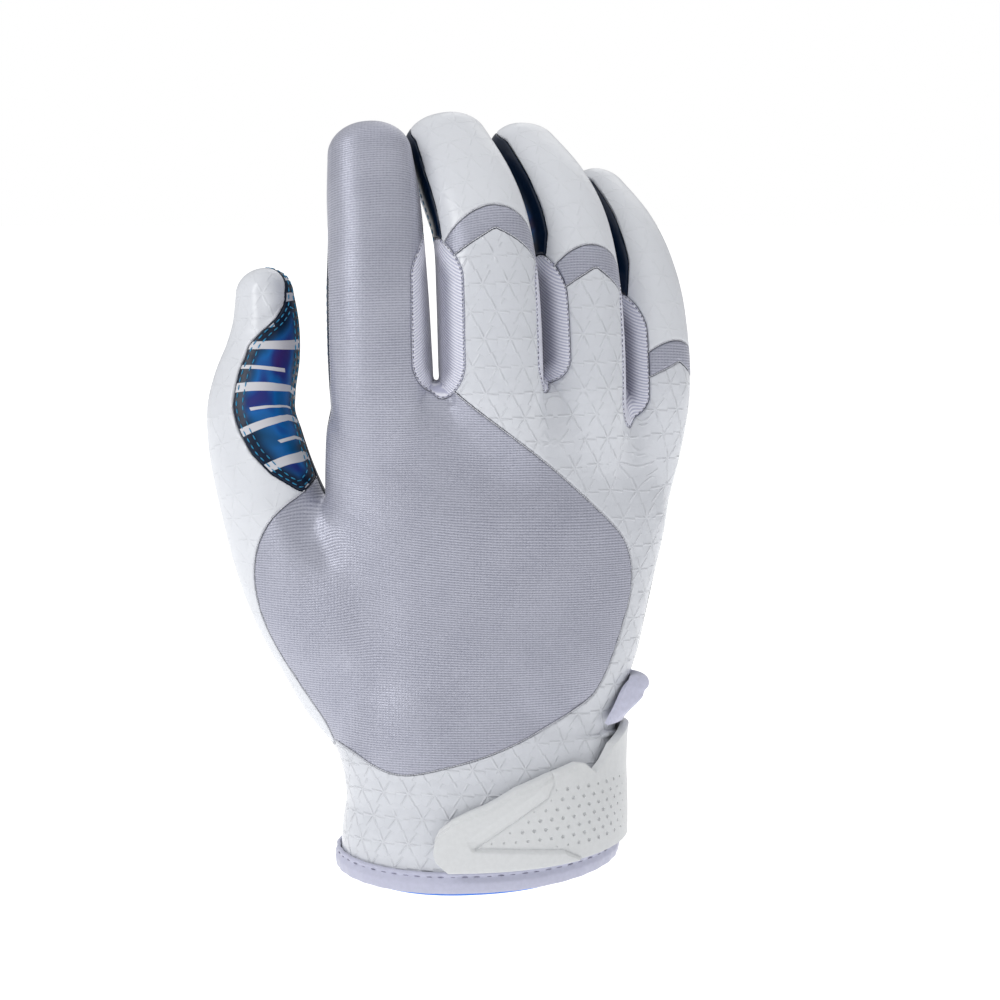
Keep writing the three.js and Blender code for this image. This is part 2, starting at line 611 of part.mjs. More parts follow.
function fourchetteAt({ pair, web: foot, reach, ends }, local, p) {
  const [a, b] = pair.map((name) => local[name]);
  const under = Math.max(0, foot * PALM_LENGTH - p.z);
  const gap = Math.max(Math.hypot(Math.max(0, a.off), under), Math.hypot(Math.max(0, b.off), under));
  const left = pair.map(
    (name, k) => reach[k] * (1 - ease(ends[k] - END_TAPER, ends[k], local[name].along / FINGERS[name].length)),
  );
  return mix(left[0], left[1], ease(-REACH_BLEND, REACH_BLEND, a.off - b.off)) - gap;
}

// Keeps the part of a mesh where sign * field > level, cutting the triangles that the line crosses.
function clip(mesh, key, sign, level) {
  const vertices = mesh.vertices;
  const value = vertices.map((v) => {
    const d = sign * v.field[key] - level;
    return Math.abs(d) < SNAP ? 0 : d;
  });
  const cuts = new Map();
  const made = [...vertices];
  const cutOf = (i, j) => {
    const tag = i < j ? `${i}_${j}` : `${j}_${i}`;
    if (!cuts.has(tag)) {
      const [a, b] = i < j ? [i, j] : [j, i];
      cuts.set(tag, made.push(between(vertices[a], vertices[b], value[a] / (value[a] - value[b]))) - 1);
    }
    return cuts.get(tag);
  };
  const faces = [];
  for (const face of mesh.faces) {
    const kept = [];
    face.forEach((i, k) => {
      const j = face[(k + 1) % 3];
      if (value[i] >= 0) kept.push(i);
      if (value[i] * value[j] < 0) kept.push(cutOf(i, j));
    });
    if (!face.some((i) => value[i] > 0)) continue;
    if (kept.length === 3) faces.push(kept);
    if (kept.length === 4) faces.push(...splitQuad(kept, made));
  }
  return { vertices: made, faces };
}

function splitQuad([a, b, c, d], vertices) {
  const length = (i, j) => vertices[i].p.distanceTo(vertices[j].p);
  return length(a, c) < length(b, d) ? [[a, b, c], [a, c, d]] : [[a, b, d], [b, c, d]];
}

function between(a, b, t) {
  const field = { own: t < 0.5 ? a.field.own : b.field.own };
  for (const key of Object.keys(a.field)) if (key !== "own") field[key] = mix(a.field[key], b.field[key], t);
  return { p: a.p.clone().lerp(b.p, t), n: a.n.clone().lerp(b.n, t).normalize(), field };
}

// Drops what the faces don't use, and merges the ends of edges shorter than the limit.
function tidy(mesh, limit) {
  const target = mesh.vertices.map((_, i) => i);
  const root = (i) => (target[i] === i ? i : (target[i] = root(target[i])));
  const rim = rimVertices(mesh.faces);
  const edges = [];
  for (const face of mesh.faces) {
    for (let k = 0; k < 3; k++) {
      const [i, j] = [face[k], face[(k + 1) % 3]];
      const length = mesh.vertices[i].p.distanceTo(mesh.vertices[j].p);
      if (length < limit) edges.push([length, i, j]);
    }
  }
  edges.sort((a, b) => a[0] - b[0]);
  for (const [, i, j] of edges) {
    const [a, b] = [root(i), root(j)];
    if (a === b) continue;
    if (rim.has(a) && !rim.has(b)) target[b] = a;
    else target[a] = b;
  }
  const faces = [];
  for (const face of mesh.faces) {
    const [a, b, c] = face.map(root);
    if (a !== b && b !== c && a !== c) faces.push([a, b, c]);
  }
  return compact({ vertices: mesh.vertices, faces });
}

function compact(mesh) {
  const index = new Map();
  const vertices = [];
  const faces = mesh.faces.map((face) =>
    face.map((i) => {
      if (!index.has(i)) index.set(i, vertices.push(mesh.vertices[i]) - 1);
      return index.get(i);
    }),
  );
  return { vertices, faces };
}

function rimEdges(faces) {
  const seen = new Map();
  for (const face of faces) {
    for (let k = 0; k < 3; k++) {
      const [i, j] = [face[k], face[(k + 1) % 3]];
      const tag = i < j ? `${i}_${j}` : `${j}_${i}`;
      seen.set(tag, seen.has(tag) ? null : [i, j]);
    }
  }
  return [...seen.values()].filter(Boolean);
}

function rimVertices(faces) {
  return new Set(rimEdges(faces).flat());
}

// The largest set of faces that hang together by edges, without the vertices where two rims touch.
function mainPiece(mesh) {
  let faces = mesh.faces;
  for (;;) {
    faces = largestPatch(faces);
    const pinched = pinchedVertices(faces);
    if (pinched.size === 0) return compact({ vertices: mesh.vertices, faces });
    faces = faces.filter((face) => !face.some((i) => pinched.get(i)?.has(face)));
  }
}

function largestPatch(faces) {
  const byEdge = new Map();
  faces.forEach((face, f) => {
    for (let k = 0; k < 3; k++) {
      const [i, j] = [face[k], face[(k + 1) % 3]];
      const tag = i < j ? `${i}_${j}` : `${j}_${i}`;
      byEdge.set(tag, [...(byEdge.get(tag) ?? []), f]);
    }
  });
  const patch = faces.map((_, f) => f);
  const root = (f) => (patch[f] === f ? f : (patch[f] = root(patch[f])));
  for (const list of byEdge.values()) for (const f of list) patch[root(f)] = root(list[0]);
  const count = new Map();
  faces.forEach((_, f) => count.set(root(f), (count.get(root(f)) ?? 0) + 1));
  const largest = [...count].reduce((a, b) => (b[1] > a[1] ? b : a))[0];
  return faces.filter((_, f) => root(f) === largest);
}

// Vertices with more than one fan of faces, each with the faces of its smaller fans.
function pinchedVertices(faces) {
  const around = new Map();
  for (const face of faces) for (const i of face) around.set(i, [...(around.get(i) ?? []), face]);
  const pinched = new Map();
  for (const [i, list] of around) {
    const fans = [];
    const left = new Set(list);
    while (left.size) {
      const fan = [left.values().next().value];
      left.delete(fan[0]);
      for (let k = 0; k < fan.length; k++) {
        for (const other of [...left]) {
          if (other.some((j) => j !== i && fan[k].includes(j))) {
            fan.push(other);
            left.delete(other);
          }
        }
      }
      fans.push(fan);
    }
    if (fans.length > 1) {
      fans.sort((a, b) => b.length - a.length);
      pinched.set(i, new Set(fans.slice(1).flat()));
    }
  }
  return pinched;
}

// A wall of even thickness under a patch of the surface, with rims along its edges.
function thicken(mesh, wall) {
  const n = mesh.vertices.length;
  const outer = mesh.vertices.map((v) => v.p);
  const inner = mesh.vertices.map((v) => v.p.clone().addScaledVector(v.n, -wall));
  const faces = mesh.faces.flat();
  for (const [a, b, c] of mesh.faces) faces.push(n + a, n + c, n + b);
  for (const [i, j] of rimEdges(mesh.faces)) faces.push(j, i, n + i, j, n + i, n + j);
  return { points: [...outer, ...inner], faces };
}

// The joins of the tubes are rounded by letting each corner near them drift to the middle of its neighbours.
function rounded({ points, faces }) {
  const around = points.map(() => new Set());
  for (const [a, b, c] of faces) {
    around[a].add(b).add(c);
    around[b].add(c).add(a);
    around[c].add(a).add(b);
  }
  const hold = points.map((p) => ROUNDING * (1 - ease(ROUND_BELOW[0], ROUND_BELOW[1], p.z / PALM_LENGTH)));
  let now = points;
  for (let pass = 0; pass < ROUNDING_PASSES; pass++) {
    const normals = normalsOf(now, faces);
    now = now.map((p, i) => {
      const drift = middleOf([...around[i]].map((j) => now[j])).sub(p);
      const share = drift.dot(normals[i]) > 0 ? 1 : ROUNDING_INWARDS;
      return p.clone().addScaledVector(drift, p.z > ROUND_ABOVE ? hold[i] * share : 0);
    });
  }
  return now;
}

const outer = outerSurface();
const joined = tidy({ vertices: outer.points.map((p) => ({ p })), faces: outer.faces }, SHORTEST_SIDE);
const smooth = rounded({ points: joined.vertices.map((v) => v.p), faces: joined.faces });
const normals = normalsOf(smooth, joined.faces);
const whole = {
  vertices: smooth.map((p, i) => ({ p, n: normals[i], field: fieldsAt(p) })),
  faces: joined.faces,
};


// The panels in the order in which they are taken from the surface, each where its field is positive. The rest is the
// overlay.
const CUTS = [
  ["fourchette_index_middle", "index_middle"],
  ["fourchette_middle_ring", "middle_ring"],
  ["fourchette_ring_little", "ring_little"],
  ["thumb_wrap", "wrap"],
  ["palm_panel", "palm"],
  ["thumb_back", "thumb"],
  ["back_panel", "knit"],
  ["middle_tip_back", "middleHigh"],
  ["ring_tip_back", "ringHigh"],
  ["little_tip_back", "littleHigh"],
  ["middle_flex_band", "middleLow"],
  ["ring_flex_band", "ringLow"],
  ["little_flex_band", "littleLow"],
];

function cutPanels() {
  const panels = {};
  const hem = PIPING_DROP + BINDING_WALL + FIT_GAP;
  let rest = clip(whole, "hem", 1, hem);
  for (const [name, key] of CUTS) {
    panels[name] = clip(rest, key, 1, SEAM_GAP / 2);
    rest = clip(rest, key, -1, SEAM_GAP / 2);
  }
  panels.back_overlay = rest;
  for (const name of Object.keys(panels)) {
    panels[name] = thicken(mainPiece(tidy(mainPiece(panels[name]), SHORTEST_EDGE)), WALL);
  }
  return panels;
}

// Point on the body at an angle from the back, a height over the hem and a distance outside the wall.
function bodyPoint(degrees, height, grow) {
  const rows = body.rows;
  let [low, high] = [0, rows.length - 1];
  for (let k = 0; k < 30; k++) {
    const t = (low + high) / 2;
    if (rowAt(rows, t).z < height) low = t;
    else high = t;
  }
  const s = station(rowAt(rows, low));
  s.T = new THREE.Vector3(0, 0, 1);
  frame(s);
  return outlinePoint(s, degrees * DEG, grow);
}

// A ring round the cuff with a section given as corners [distance outside the wall, height over the hem].
function cuffRing(section) {
  const points = [];
  const faces = [];
  const m = section.length;
  for (let k = 0; k < BODY_SIDES; k++) {
    for (const [grow, height] of section) points.push(bodyPoint((k / BODY_SIDES) * 360, height, grow));
    const here = k * m;
    const there = ((k + 1) % BODY_SIDES) * m;
    for (let j = 0; j < m; j++) {
      const i = (j + 1) % m;
      faces.push(here + j, there + j, there + i, here + j, there + i, here + i);
    }
  }
  return { points, faces };
}

// A closed plate between two grids of points of equal size, the outer and the inner one.
function plate(outerGrid, innerGrid) {
  const [rows, columns] = [outerGrid.length, outerGrid[0].length];
  const points = [...outerGrid.flat(), ...innerGrid.flat()];
  const n = rows * columns;
  const at = (r, c) => r * columns + c;
  const faces = [];
  const quad = (a, b, c, d) => faces.push(a, b, c, a, c, d);
  for (let r = 0; r + 1 < rows; r++) {
    for (let c = 0; c + 1 < columns; c++) {
      quad(at(r, c), at(r, c + 1), at(r + 1, c + 1), at(r + 1, c));
      quad(n + at(r, c), n + at(r + 1, c), n + at(r + 1, c + 1), n + at(r, c + 1));
    }
  }
  for (let c = 0; c + 1 < columns; c++) {
    quad(n + at(0, c), n + at(0, c + 1), at(0, c + 1), at(0, c));
    quad(at(rows - 1, c), at(rows - 1, c + 1), n + at(rows - 1, c + 1), n + at(rows - 1, c));
  }
  for (let r = 0; r + 1 < rows; r++) {
    quad(at(r, 0), at(r + 1, 0), n + at(r + 1, 0), n + at(r, 0));
    quad(n + at(r, columns - 1), n + at(r + 1, columns - 1), at(r + 1, columns - 1), at(r, columns - 1));
  }
  return { points, faces };
}

// The binding: a fold of tape over the cloth's edge, seen in section.
function cuffBinding() {
  const [low, high] = [PIPING_DROP, PIPING_DROP + BINDING_HEIGHT];
  const out = FIT_GAP + BINDING_WALL;
  const inn = -WALL - FIT_GAP - BINDING_WALL;
  return cuffRing([
    [out, low],
    [out, high],
    [FIT_GAP, high],
    [FIT_GAP, low + BINDING_WALL],
    [inn + BINDING_WALL, low + BINDING_WALL],
    [inn + BINDING_WALL, high],
    [inn, high],
    [inn, low],
  ]);
}

// The edge of the lining, which shows as a thin line under the binding.
function cuffEdgeLining() {
  const out = -WALL - 2 * FIT_GAP - BINDING_WALL;
  return cuffRing([
    [out, 0],
    [out, BINDING_HEIGHT],
    [out - PIPING_WALL, BINDING_HEIGHT],
    [out - PIPING_WALL, 0],
  ]);
}

// The moulded strap, from its pointed tab on the back round the little finger's side to the palm. around is the angle
// from the back in degrees, low and high are its edges over the binding as shares of STRAP_HEIGHT, and rim is how much
// of the moulded rim's rise there is.
const STRAP_ROWS = [
  { around: -19.5, low: 0.17, high: 0.213, rim: 1 },
  { around: -14, low: 0.01, high: 0.287, rim: 1 },
  { around: 0, low: 0.0, high: 0.416, rim: 1 },
  { around: 12, low: 0.0, high: 0.545, rim: 1 },
  { around: 25, low: 0.0, high: 0.653, rim: 1 },
  { around: 38, low: 0.0, high: 0.721, rim: 1 },
  { around: 42, low: 0.0, high: 0.716, rim: 0.8 },
  { around: 48.5, low: 0.0, high: 0.647, rim: 0.3 },
  { around: 55, low: 0.0, high: 0.729, rim: 0 },
  { around: 63, low: 0.0, high: 0.84, rim: 0 },
  { around: 74, low: 0.0, high: 0.9, rim: 0 },
  { around: 84, low: 0.0, high: 0.95, rim: 0 },
  { around: 96, low: 0.0, high: 0.95, rim: 0 },
  { around: 112, low: 0.0, high: 0.93, rim: 0 },
  { around: 130, low: 0.01, high: 0.9, rim: 0 },
  { around: 150, low: 0.03, high: 0.85, rim: 0 },
  { around: 170, low: 0.06, high: 0.8, rim: 0 },
  { around: 188, low: 0.1, high: 0.74, rim: 0 },
  { around: 196, low: 0.2, high: 0.62, rim: 0 },
];
// Across the strap, from its low edge to its high one: at is a share of the height there and rise of the rim's rise.
const STRAP_ACROSS = [
  { at: 0.0, rise: 0.8 },
  { at: 0.13, rise: 0.8 },
  { at: 0.18, rise: 0 },
  { at: 0.44, rise: 0 },
  { at: 0.7, rise: 0 },
  { at: 0.76, rise: 1 },
  { at: 1.0, rise: 1 },
];

// The rows of a table by angle with rows between them, so that no step is wider than the given one.
function finer(rows, widest) {
  const list = [rows[0]];
  for (let i = 1; i < rows.length; i++) {
    const steps = Math.ceil((rows[i].around - rows[i - 1].around) / widest);
    for (let k = 1; k <= steps; k++) {
      const row = {};
      for (const key of Object.keys(rows[i])) row[key] = mix(rows[i - 1][key], rows[i][key], k / steps);
      list.push(row);
    }
  }
  return list;
}

function wristStrap() {
  const rows = finer(STRAP_ROWS, WIDEST_STEP);
  const bottom = PIPING_DROP + BINDING_HEIGHT + FIT_GAP;
  const pointAt = (row, across, grow) =>
    bodyPoint(row.around, bottom + mix(row.low, row.high, across.at) * STRAP_HEIGHT, grow);
  const outside = (row, across) => STRAP_LIFT + STRAP_WALL + across.rise * row.rim * STRAP_RIM;
  return plate(
    STRAP_ACROSS.map((across) => rows.map((row) => pointAt(row, across, outside(row, across)))),
    STRAP_ACROSS.map((across) => rows.map((row) => pointAt(row, across, STRAP_LIFT))),
  );
}

// The pocket of vent cloth that stands out over the strap on the little finger's side. up is the height of its fold over
// the binding as a share of STRAP_HEIGHT, out its distance from the wall as a share of VENT_LOOP, front and rear its
// two edges as angles from the back in degrees.
const VENT_ROWS = [
  { up: 0.99, out: 0.0, front: 60, rear: 98 },
  { up: 1.03, out: 0.25, front: 61, rear: 99 },
  { up: 1.09, out: 0.7, front: 64, rear: 101 },
  { up: 1.17, out: 1.0, front: 68, rear: 103 },
  { up: 1.25, out: 0.95, front: 73, rear: 105 },
  { up: 1.29, out: 0.62, front: 76, rear: 106 },
  { up: 1.3, out: 0.3, front: 78, rear: 107 },
  { up: 1.28, out: 0.0, front: 79, rear: 107 },
];
const VENT_STEPS = 5;
const VENT_CLOSING = 2.2; // how late the pocket closes towards its rear edge, which lies on the hand

function ventLoop() {
  const bottom = PIPING_DROP + BINDING_HEIGHT + FIT_GAP;
  const path = VENT_ROWS.map((row) => [row.out * VENT_LOOP, row.up * STRAP_HEIGHT + bottom]);
  const grids = { outer: [], inner: [] };
  VENT_ROWS.forEach((row, i) => {
    const before = path[Math.max(0, i - 1)];
    const after = path[Math.min(path.length - 1, i + 1)];
    const along = Math.hypot(after[0] - before[0], after[1] - before[1]);
    const normal = [(after[1] - before[1]) / along, -(after[0] - before[0]) / along];
    const across = (lift) =>
      Array.from({ length: VENT_STEPS + 1 }, (_, k) =>
        bodyPoint(
          mix(row.front, row.rear, k / VENT_STEPS),
          path[i][1] + normal[1] * lift,
          2 * FIT_GAP + VENT_WALL + path[i][0] * (1 - (k / VENT_STEPS) ** VENT_CLOSING) + normal[0] * lift,
        ),
      );
    grids.outer.push(across(VENT_WALL / 2));
    grids.inner.push(across(-VENT_WALL / 2));
  });
  return plate(grids.outer, grids.inner);
}

const LOOKS = {
  back_panel: { color: 0xb2b5c5, roughness: 0.45 },
  back_overlay: { color: 0xe0e2e8, roughness: 0.35 },
  thumb_back: { color: 0xe0e2e8, roughness: 0.35 },
  thumb_wrap: { color: 0x1b3f7a, roughness: 0.3 },
  middle_tip_back: { color: 0xe0e2e8, roughness: 0.35 },
  ring_tip_back: { color: 0xe0e2e8, roughness: 0.35 },
  little_tip_back: { color: 0xe0e2e8, roughness: 0.35 },
  middle_flex_band: { color: 0xb2b5c5, roughness: 0.5 },
  ring_flex_band: { color: 0xb2b5c5, roughness: 0.5 },
  little_flex_band: { color: 0xb2b5c5, roughness: 0.5 },
  fourchette_index_middle: { color: 0xd8d9e8, roughness: 0.6 },
  fourchette_middle_ring: { color: 0xd8d9e8, roughness: 0.6 },
  fourchette_ring_little: { color: 0xd8d9e8, roughness: 0.6 },
  palm_panel: { color: 0x1d2350, roughness: 0.3 },
  cuff_binding: { color: 0xd0d2e8, roughness: 0.6 },
  cuff_edge_lining: { color: 0x4682e6, roughness: 0.6 },
  wrist_strap: { color: 0xd6dad8, roughness: 0.5 },
  vent_gusset: { color: 0xd2d2ec, roughness: 0.6 },
};

const solids = {
  ...cutPanels(),
  cuff_binding: cuffBinding(),
  cuff_edge_lining: cuffEdgeLining(),
  wrist_strap: wristStrap(),
  vent_gusset: ventLoop(),
};
const glove = new THREE.Group();
glove.name = "receiver_glove";
for (const [name, solid] of Object.entries(solids)) {
  const material = new THREE.MeshStandardMaterial({ ...LOOKS[name], metalness: 0 });
  const mesh = new THREE.Mesh(toGeometry(solid), material);
  mesh.name = name;
  glove.add(mesh);
}

export default glove;
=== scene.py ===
import logging
import math
from collections.abc import Iterator
from dataclasses import dataclass
from enum import Enum

import bmesh
import bpy
import numpy as np
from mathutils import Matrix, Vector
from mathutils.kdtree import KDTree


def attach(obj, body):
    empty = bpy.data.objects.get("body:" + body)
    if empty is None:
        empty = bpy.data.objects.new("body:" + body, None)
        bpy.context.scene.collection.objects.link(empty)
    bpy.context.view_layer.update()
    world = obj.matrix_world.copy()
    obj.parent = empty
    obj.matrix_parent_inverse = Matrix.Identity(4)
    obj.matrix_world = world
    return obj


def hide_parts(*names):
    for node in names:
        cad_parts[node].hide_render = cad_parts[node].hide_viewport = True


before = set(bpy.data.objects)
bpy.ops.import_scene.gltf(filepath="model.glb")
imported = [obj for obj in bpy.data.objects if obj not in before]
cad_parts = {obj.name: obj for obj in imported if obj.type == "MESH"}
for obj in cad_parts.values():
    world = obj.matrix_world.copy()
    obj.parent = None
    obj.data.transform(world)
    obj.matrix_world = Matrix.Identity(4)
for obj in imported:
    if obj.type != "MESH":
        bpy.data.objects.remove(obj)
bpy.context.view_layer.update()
log = logging.getLogger("glove")

MM = 0.001

# Driving dimensions of the hand's form, as in the part's source
PALM_LENGTH = 137.0
PALM_WIDTH = 102.0
PALM_DEPTH = 44.0
CUFF_WIDTH = 80.0
CUFF_DEPTH = 50.0
FINGER_GAP = 0.9
FINGER_SIZES = {
    "index": (100.0, 28.6, 26.0),
    "middle": (105.0, 28.6, 26.0),
    "ring": (102.5, 25.4, 24.5),
    "little": (88.5, 22.4, 22.0),
}
THUMB_SIZE = (135.5, 29.0, 28.0)
FLEX_BAND = 6.6
BINDING_HEIGHT = 6.0
BINDING_WALL = 1.1
PIPING_DROP = 0.7
PIPING_WALL = 1.0
CLOTH_WALL = 1.5
FIT_GAP = 0.35
STRAP_WALL = 2.4
STRAP_RIM = 0.9
STRAP_LIFT = 1.5
STRAP_HEIGHT = 38.0
VENT_LOOP = 5.8
VENT_WALL = 1.1

# The seams between the panels
SEAM_GAP = 0.16
ROLL = 0.45  # how far a panel's edge turns under

# How finely the form is made
TUBE_STEPS = 10  # sections between two rows of a table
LEVEL_STEPS = 80  # the same where the body's skin is read at a height
TUBE_SIDES = 44
BODY_SIDES = 120
CAP_RINGS = 8
WELD = 0.15
SLIVER = 0.015  # edges shorter than this are dissolved
# How the joins of the tubes are filled: the share of the drift outwards and inwards, and at which heights
ROUNDING = 0.5
ROUNDING_INWARDS = 0.12
ROUNDING_PASSES = 60
ROUND_BELOW = (0.86, 1.0)
ROUND_ABOVE = 30.0
# The last smoothing: each pass draws in and then lets out a little more, so that the form keeps its size
FINISH_PASSES = 6
DRAW_IN = 0.5
LET_OUT = 0.52

UNIT_FLOOR = 1e-12
NORMAL_AT = 3  # the columns of a surface's data: point, normal, then the measures
MEASURES_AT = 6

Grid = np.ndarray
Pair = tuple[float, float]


def smoothstep(low: float, high: float, value: Grid) -> Grid:
    """Cubic step from 0 at low to 1 at high."""
    t = np.clip((value - low) / (high - low), 0.0, 1.0)
    return t * t * (3.0 - 2.0 * t)


def unit(vectors: Grid) -> Grid:
    """The vectors at length one."""
    return vectors / np.maximum(np.linalg.norm(vectors, axis=-1, keepdims=True), UNIT_FLOOR)


def lengths_along(points: Grid) -> Grid:
    """Length of the line from its first point to every point on it."""
    return np.concatenate([[0.0], np.cumsum(np.linalg.norm(np.diff(points, axis=0), axis=1))])


def crossed(first: Grid, second: Grid) -> tuple[Grid, Grid]:
    """Every value of the first row with every value of the second, as two columns of equal length."""
    return tuple(values.ravel() for values in np.meshgrid(first, second, indexing="ij"))


def turned_under(edge: Grid, radius: float) -> tuple[Grid, Grid]:
    """The share by which an edge has turned, and how far it sinks, at distances from the edge."""
    turned = np.clip(1 - edge / radius, 0, 1)
    return turned, radius * (1 - np.sqrt(1 - turned**2))


def set_out(name: str, data: bpy.types.ID) -> bpy.types.Object:
    """A new object of a mesh, a light or a camera, in the scene."""
    made = bpy.data.objects.new(name, data)
    bpy.context.scene.collection.objects.link(made)
    return made


@dataclass(frozen=True)
class Table:
    """Rows of numbers under named columns."""

    columns: tuple[str, ...]
    rows: tuple[tuple[float, ...], ...]

    def column(self, name: str) -> Grid:
        """One column as an array."""
        return np.array([row[self.columns.index(name)] for row in self.rows])

    def read(self, name: str, at: Grid) -> Grid:
        """One column at values of the first column, straight between the rows."""
        return np.interp(at, self.column(self.columns[0]), self.column(name))


BODY = Table(
    ("cuff", "up", "left", "right", "deep", "back", "bow", "hem"),
    (
        (1, 0.0, 1.02, 0.905, 1.0, 0.02, 0, 1),
        (1, 0.07, 1.01, 0.91, 0.99, 0.02, 0, 0.8),
        (1, 0.15, 0.98, 0.91, 0.96, 0.02, 0.03, 0.5),
        (1, 0.23, 1.0, 0.905, 0.94, 0.03, 0.07, 0.25),
        (1, 0.31, 1.05, 0.92, 0.92, 0.035, 0.11, 0.08),
        (0, 0.39, 0.79, 0.76, 1.02, 0.05, 0.17, 0),
        (0, 0.48, 0.83, 0.85, 0.99, 0.05, 0.25, 0),
        (0, 0.57, 0.85, 0.91, 0.93, 0.04, 0.34, 0),
        (0, 0.66, 0.87, 0.97, 0.86, 0.02, 0.46, 0),
        (0, 0.75, 0.88, 1.025, 0.77, 0.0, 0.58, 0),
        (0, 0.84, 0.88, 1.05, 0.67, 0.0, 0.69, 0),
        (0, 0.91, 0.87, 1.06, 0.59, 0.0, 0.75, 0),
        (0, 0.97, 0.84, 1.04, 0.5, 0.0, 0.77, 0),
    ),
)
BODY_CAP = 0.06  # height of the body's rounded top, as a share of PALM_LENGTH
DIGIT_COLUMNS = ("along", "side", "curl", "wide", "deep", "spin")
DIGITS = {
    "index": Table(
        DIGIT_COLUMNS,
        (
            (-0.22, 0.03, 0.0, 0.8, 0.6, -3),
            (0.0, 0.01, 0.0, 0.97, 0.88, -3),
            (0.25, -0.018, 0.0, 1.02, 1.0, -3),
            (0.5, -0.03, 0.015, 1.0, 0.97, -2),
            (0.68, -0.036, 0.045, 0.94, 0.9, 0),
            (0.8, -0.045, 0.075, 0.905, 0.84, 2),
            (0.91, -0.055, 0.115, 0.83, 0.74, 3),
        ),
    ),
    "middle": Table(
        DIGIT_COLUMNS,
        (
            (-0.22, 0.0, 0.0, 0.8, 0.6, 4),
            (0.0, 0.0, 0.0, 0.97, 0.88, 4),
            (0.245, -0.008, 0.0, 1.02, 1.0, 5),
            (0.49, -0.017, 0.03, 1.01, 0.97, 6),
            (0.655, -0.034, 0.085, 0.96, 0.92, 10),
            (0.77, -0.072, 0.15, 0.94, 0.86, 16),
            (0.885, -0.132, 0.245, 0.88, 0.78, 22),
        ),
    ),
    "ring": Table(
        DIGIT_COLUMNS,
        (
            (-0.22, -0.02, -0.02, 0.8, 0.6, 18),
            (0.0, 0.0, 0.0, 0.97, 0.88, 18),
            (0.24, 0.0, 0.005, 1.02, 1.0, 19),
            (0.49, -0.01, 0.045, 1.01, 0.96, 21),
            (0.66, -0.032, 0.115, 0.96, 0.92, 26),
            (0.78, -0.08, 0.19, 0.93, 0.86, 32),
            (0.885, -0.155, 0.295, 0.88, 0.78, 38),
        ),
    ),
    "little": Table(
        DIGIT_COLUMNS,
        (
            (-0.24, -0.1, -0.05, 0.75, 0.55, 34),
            (0.0, -0.03, 0.0, 0.94, 0.86, 35),
            (0.26, 0.005, 0.01, 1.0, 1.0, 38),
            (0.5, -0.004, 0.055, 0.98, 0.96, 41),
            (0.66, -0.037, 0.12, 0.95, 0.92, 45),
            (0.78, -0.088, 0.195, 0.92, 0.86, 48),
            (0.885, -0.16, 0.285, 0.86, 0.78, 52),
        ),
    ),
}
THUMB = Table(
    DIGIT_COLUMNS,
    (
        (0.0, 0.03, 0.0, 0.7, 0.62, -20),
        (0.1, -0.085, 0.0, 0.98, 0.86, -24),
        (0.21, -0.14, 0.005, 1.12, 1.02, -27),
        (0.315, -0.19, 0.012, 1.18, 1.08, -30),
        (0.42, -0.233, 0.025, 1.15, 1.06, -33),
        (0.54, -0.276, 0.045, 1.03, 0.97, -36),
        (0.625, -0.301, 0.065, 0.97, 0.9, -38),
        (0.69, -0.313, 0.08, 0.89, 0.83, -39),
        (0.75, -0.307, 0.093, 0.83, 0.77, -40),
        (0.815, -0.291, 0.108, 0.75, 0.7, -40),
        (0.875, -0.284, 0.12, 0.66, 0.63, -40),
        (0.94, -0.287, 0.135, 0.57, 0.55, -40),
    ),
)
WEB = Table(
    ("up", "side", "back", "half", "thick", "spin"),
    (
        (0.33, -0.58, 0.1, 0.24, 0.56, -15),
        (0.42, -0.7, 0.08, 0.3, 0.64, -18),
        (0.51, -0.78, 0.08, 0.33, 0.66, -20),
        (0.6, -0.84, 0.12, 0.31, 0.62, -22),
        (0.68, -0.88, 0.18, 0.25, 0.54, -25),
        (0.74, -0.92, 0.24, 0.15, 0.4, -25),
    ),
)
ROOT_UP = 0.82  # height of the fingers' roots, as a share of PALM_LENGTH
MIDDLE_ROOT_SIDE = 0.026  # as a share of PALM_WIDTH
# How far each root is turned to the palm from its neighbour, in degrees
NEIGHBOUR_TURN = {"index": 0.0, "ring": 30.0, "little": 36.0}
THUMB_ROOT = (-0.235, 0.1, 0.265)  # shares of the palm's width, depth and length

CLOTH_TURN = 12.0  # over this far to each side of a digit's middle, the cloth turns from height to length
BOW_SOFTNESS = 0.18  # how softly the bow starts, as a share of the half width
SQUARENESS = 2.25  # the power of the sections' ovals
HEM_RISE = {"level": 5.7, "side": 1.8, "front": -2.5, "ends": -3.2}


def bow_at(bow: Grid, u: Grid) -> Grid:
    """How far the little finger's side swings back at a share u of the half width."""
    return bow * (u + np.hypot(u, BOW_SOFTNESS)) / 2


def hem_at(u: Grid, v: Grid) -> Grid:
    """Height of the hem over its lowest point. u runs to the little finger's side and v to the back."""
    return HEM_RISE["level"] + HEM_RISE["side"] * u + HEM_RISE["front"] * v + HEM_RISE["ends"] * v * v


def oval(angle: Grid) -> tuple[Grid, Grid]:
    """Shares of the half width and of the half depth of a section at an angle from its back, in radians."""
    power = 2 / SQUARENESS
    across, deep = np.sin(angle), np.cos(angle)
    return np.sign(across) * np.abs(across) ** power, np.sign(deep) * np.abs(deep) ** power


def catmull_rom(rows: Grid, at: Grid) -> Grid:
    """Smooth values of every column at fractional row numbers.

    Args:
        rows: one row per knot.
        at: row numbers, whole or between.

    Returns:
        One row of values for each number in at.
    """
    last = len(rows) - 1
    i = np.clip(np.floor(at).astype(int), 0, last - 1)
    f = (at - i)[:, None]
    a, b, c, d = (rows[np.clip(i + k, 0, last)] for k in (-1, 0, 1, 2))
    return b + 0.5 * f * (c - a + f * (2 * a - 5 * b + 4 * c - d + f * (3 * (b - c) + d - a)))


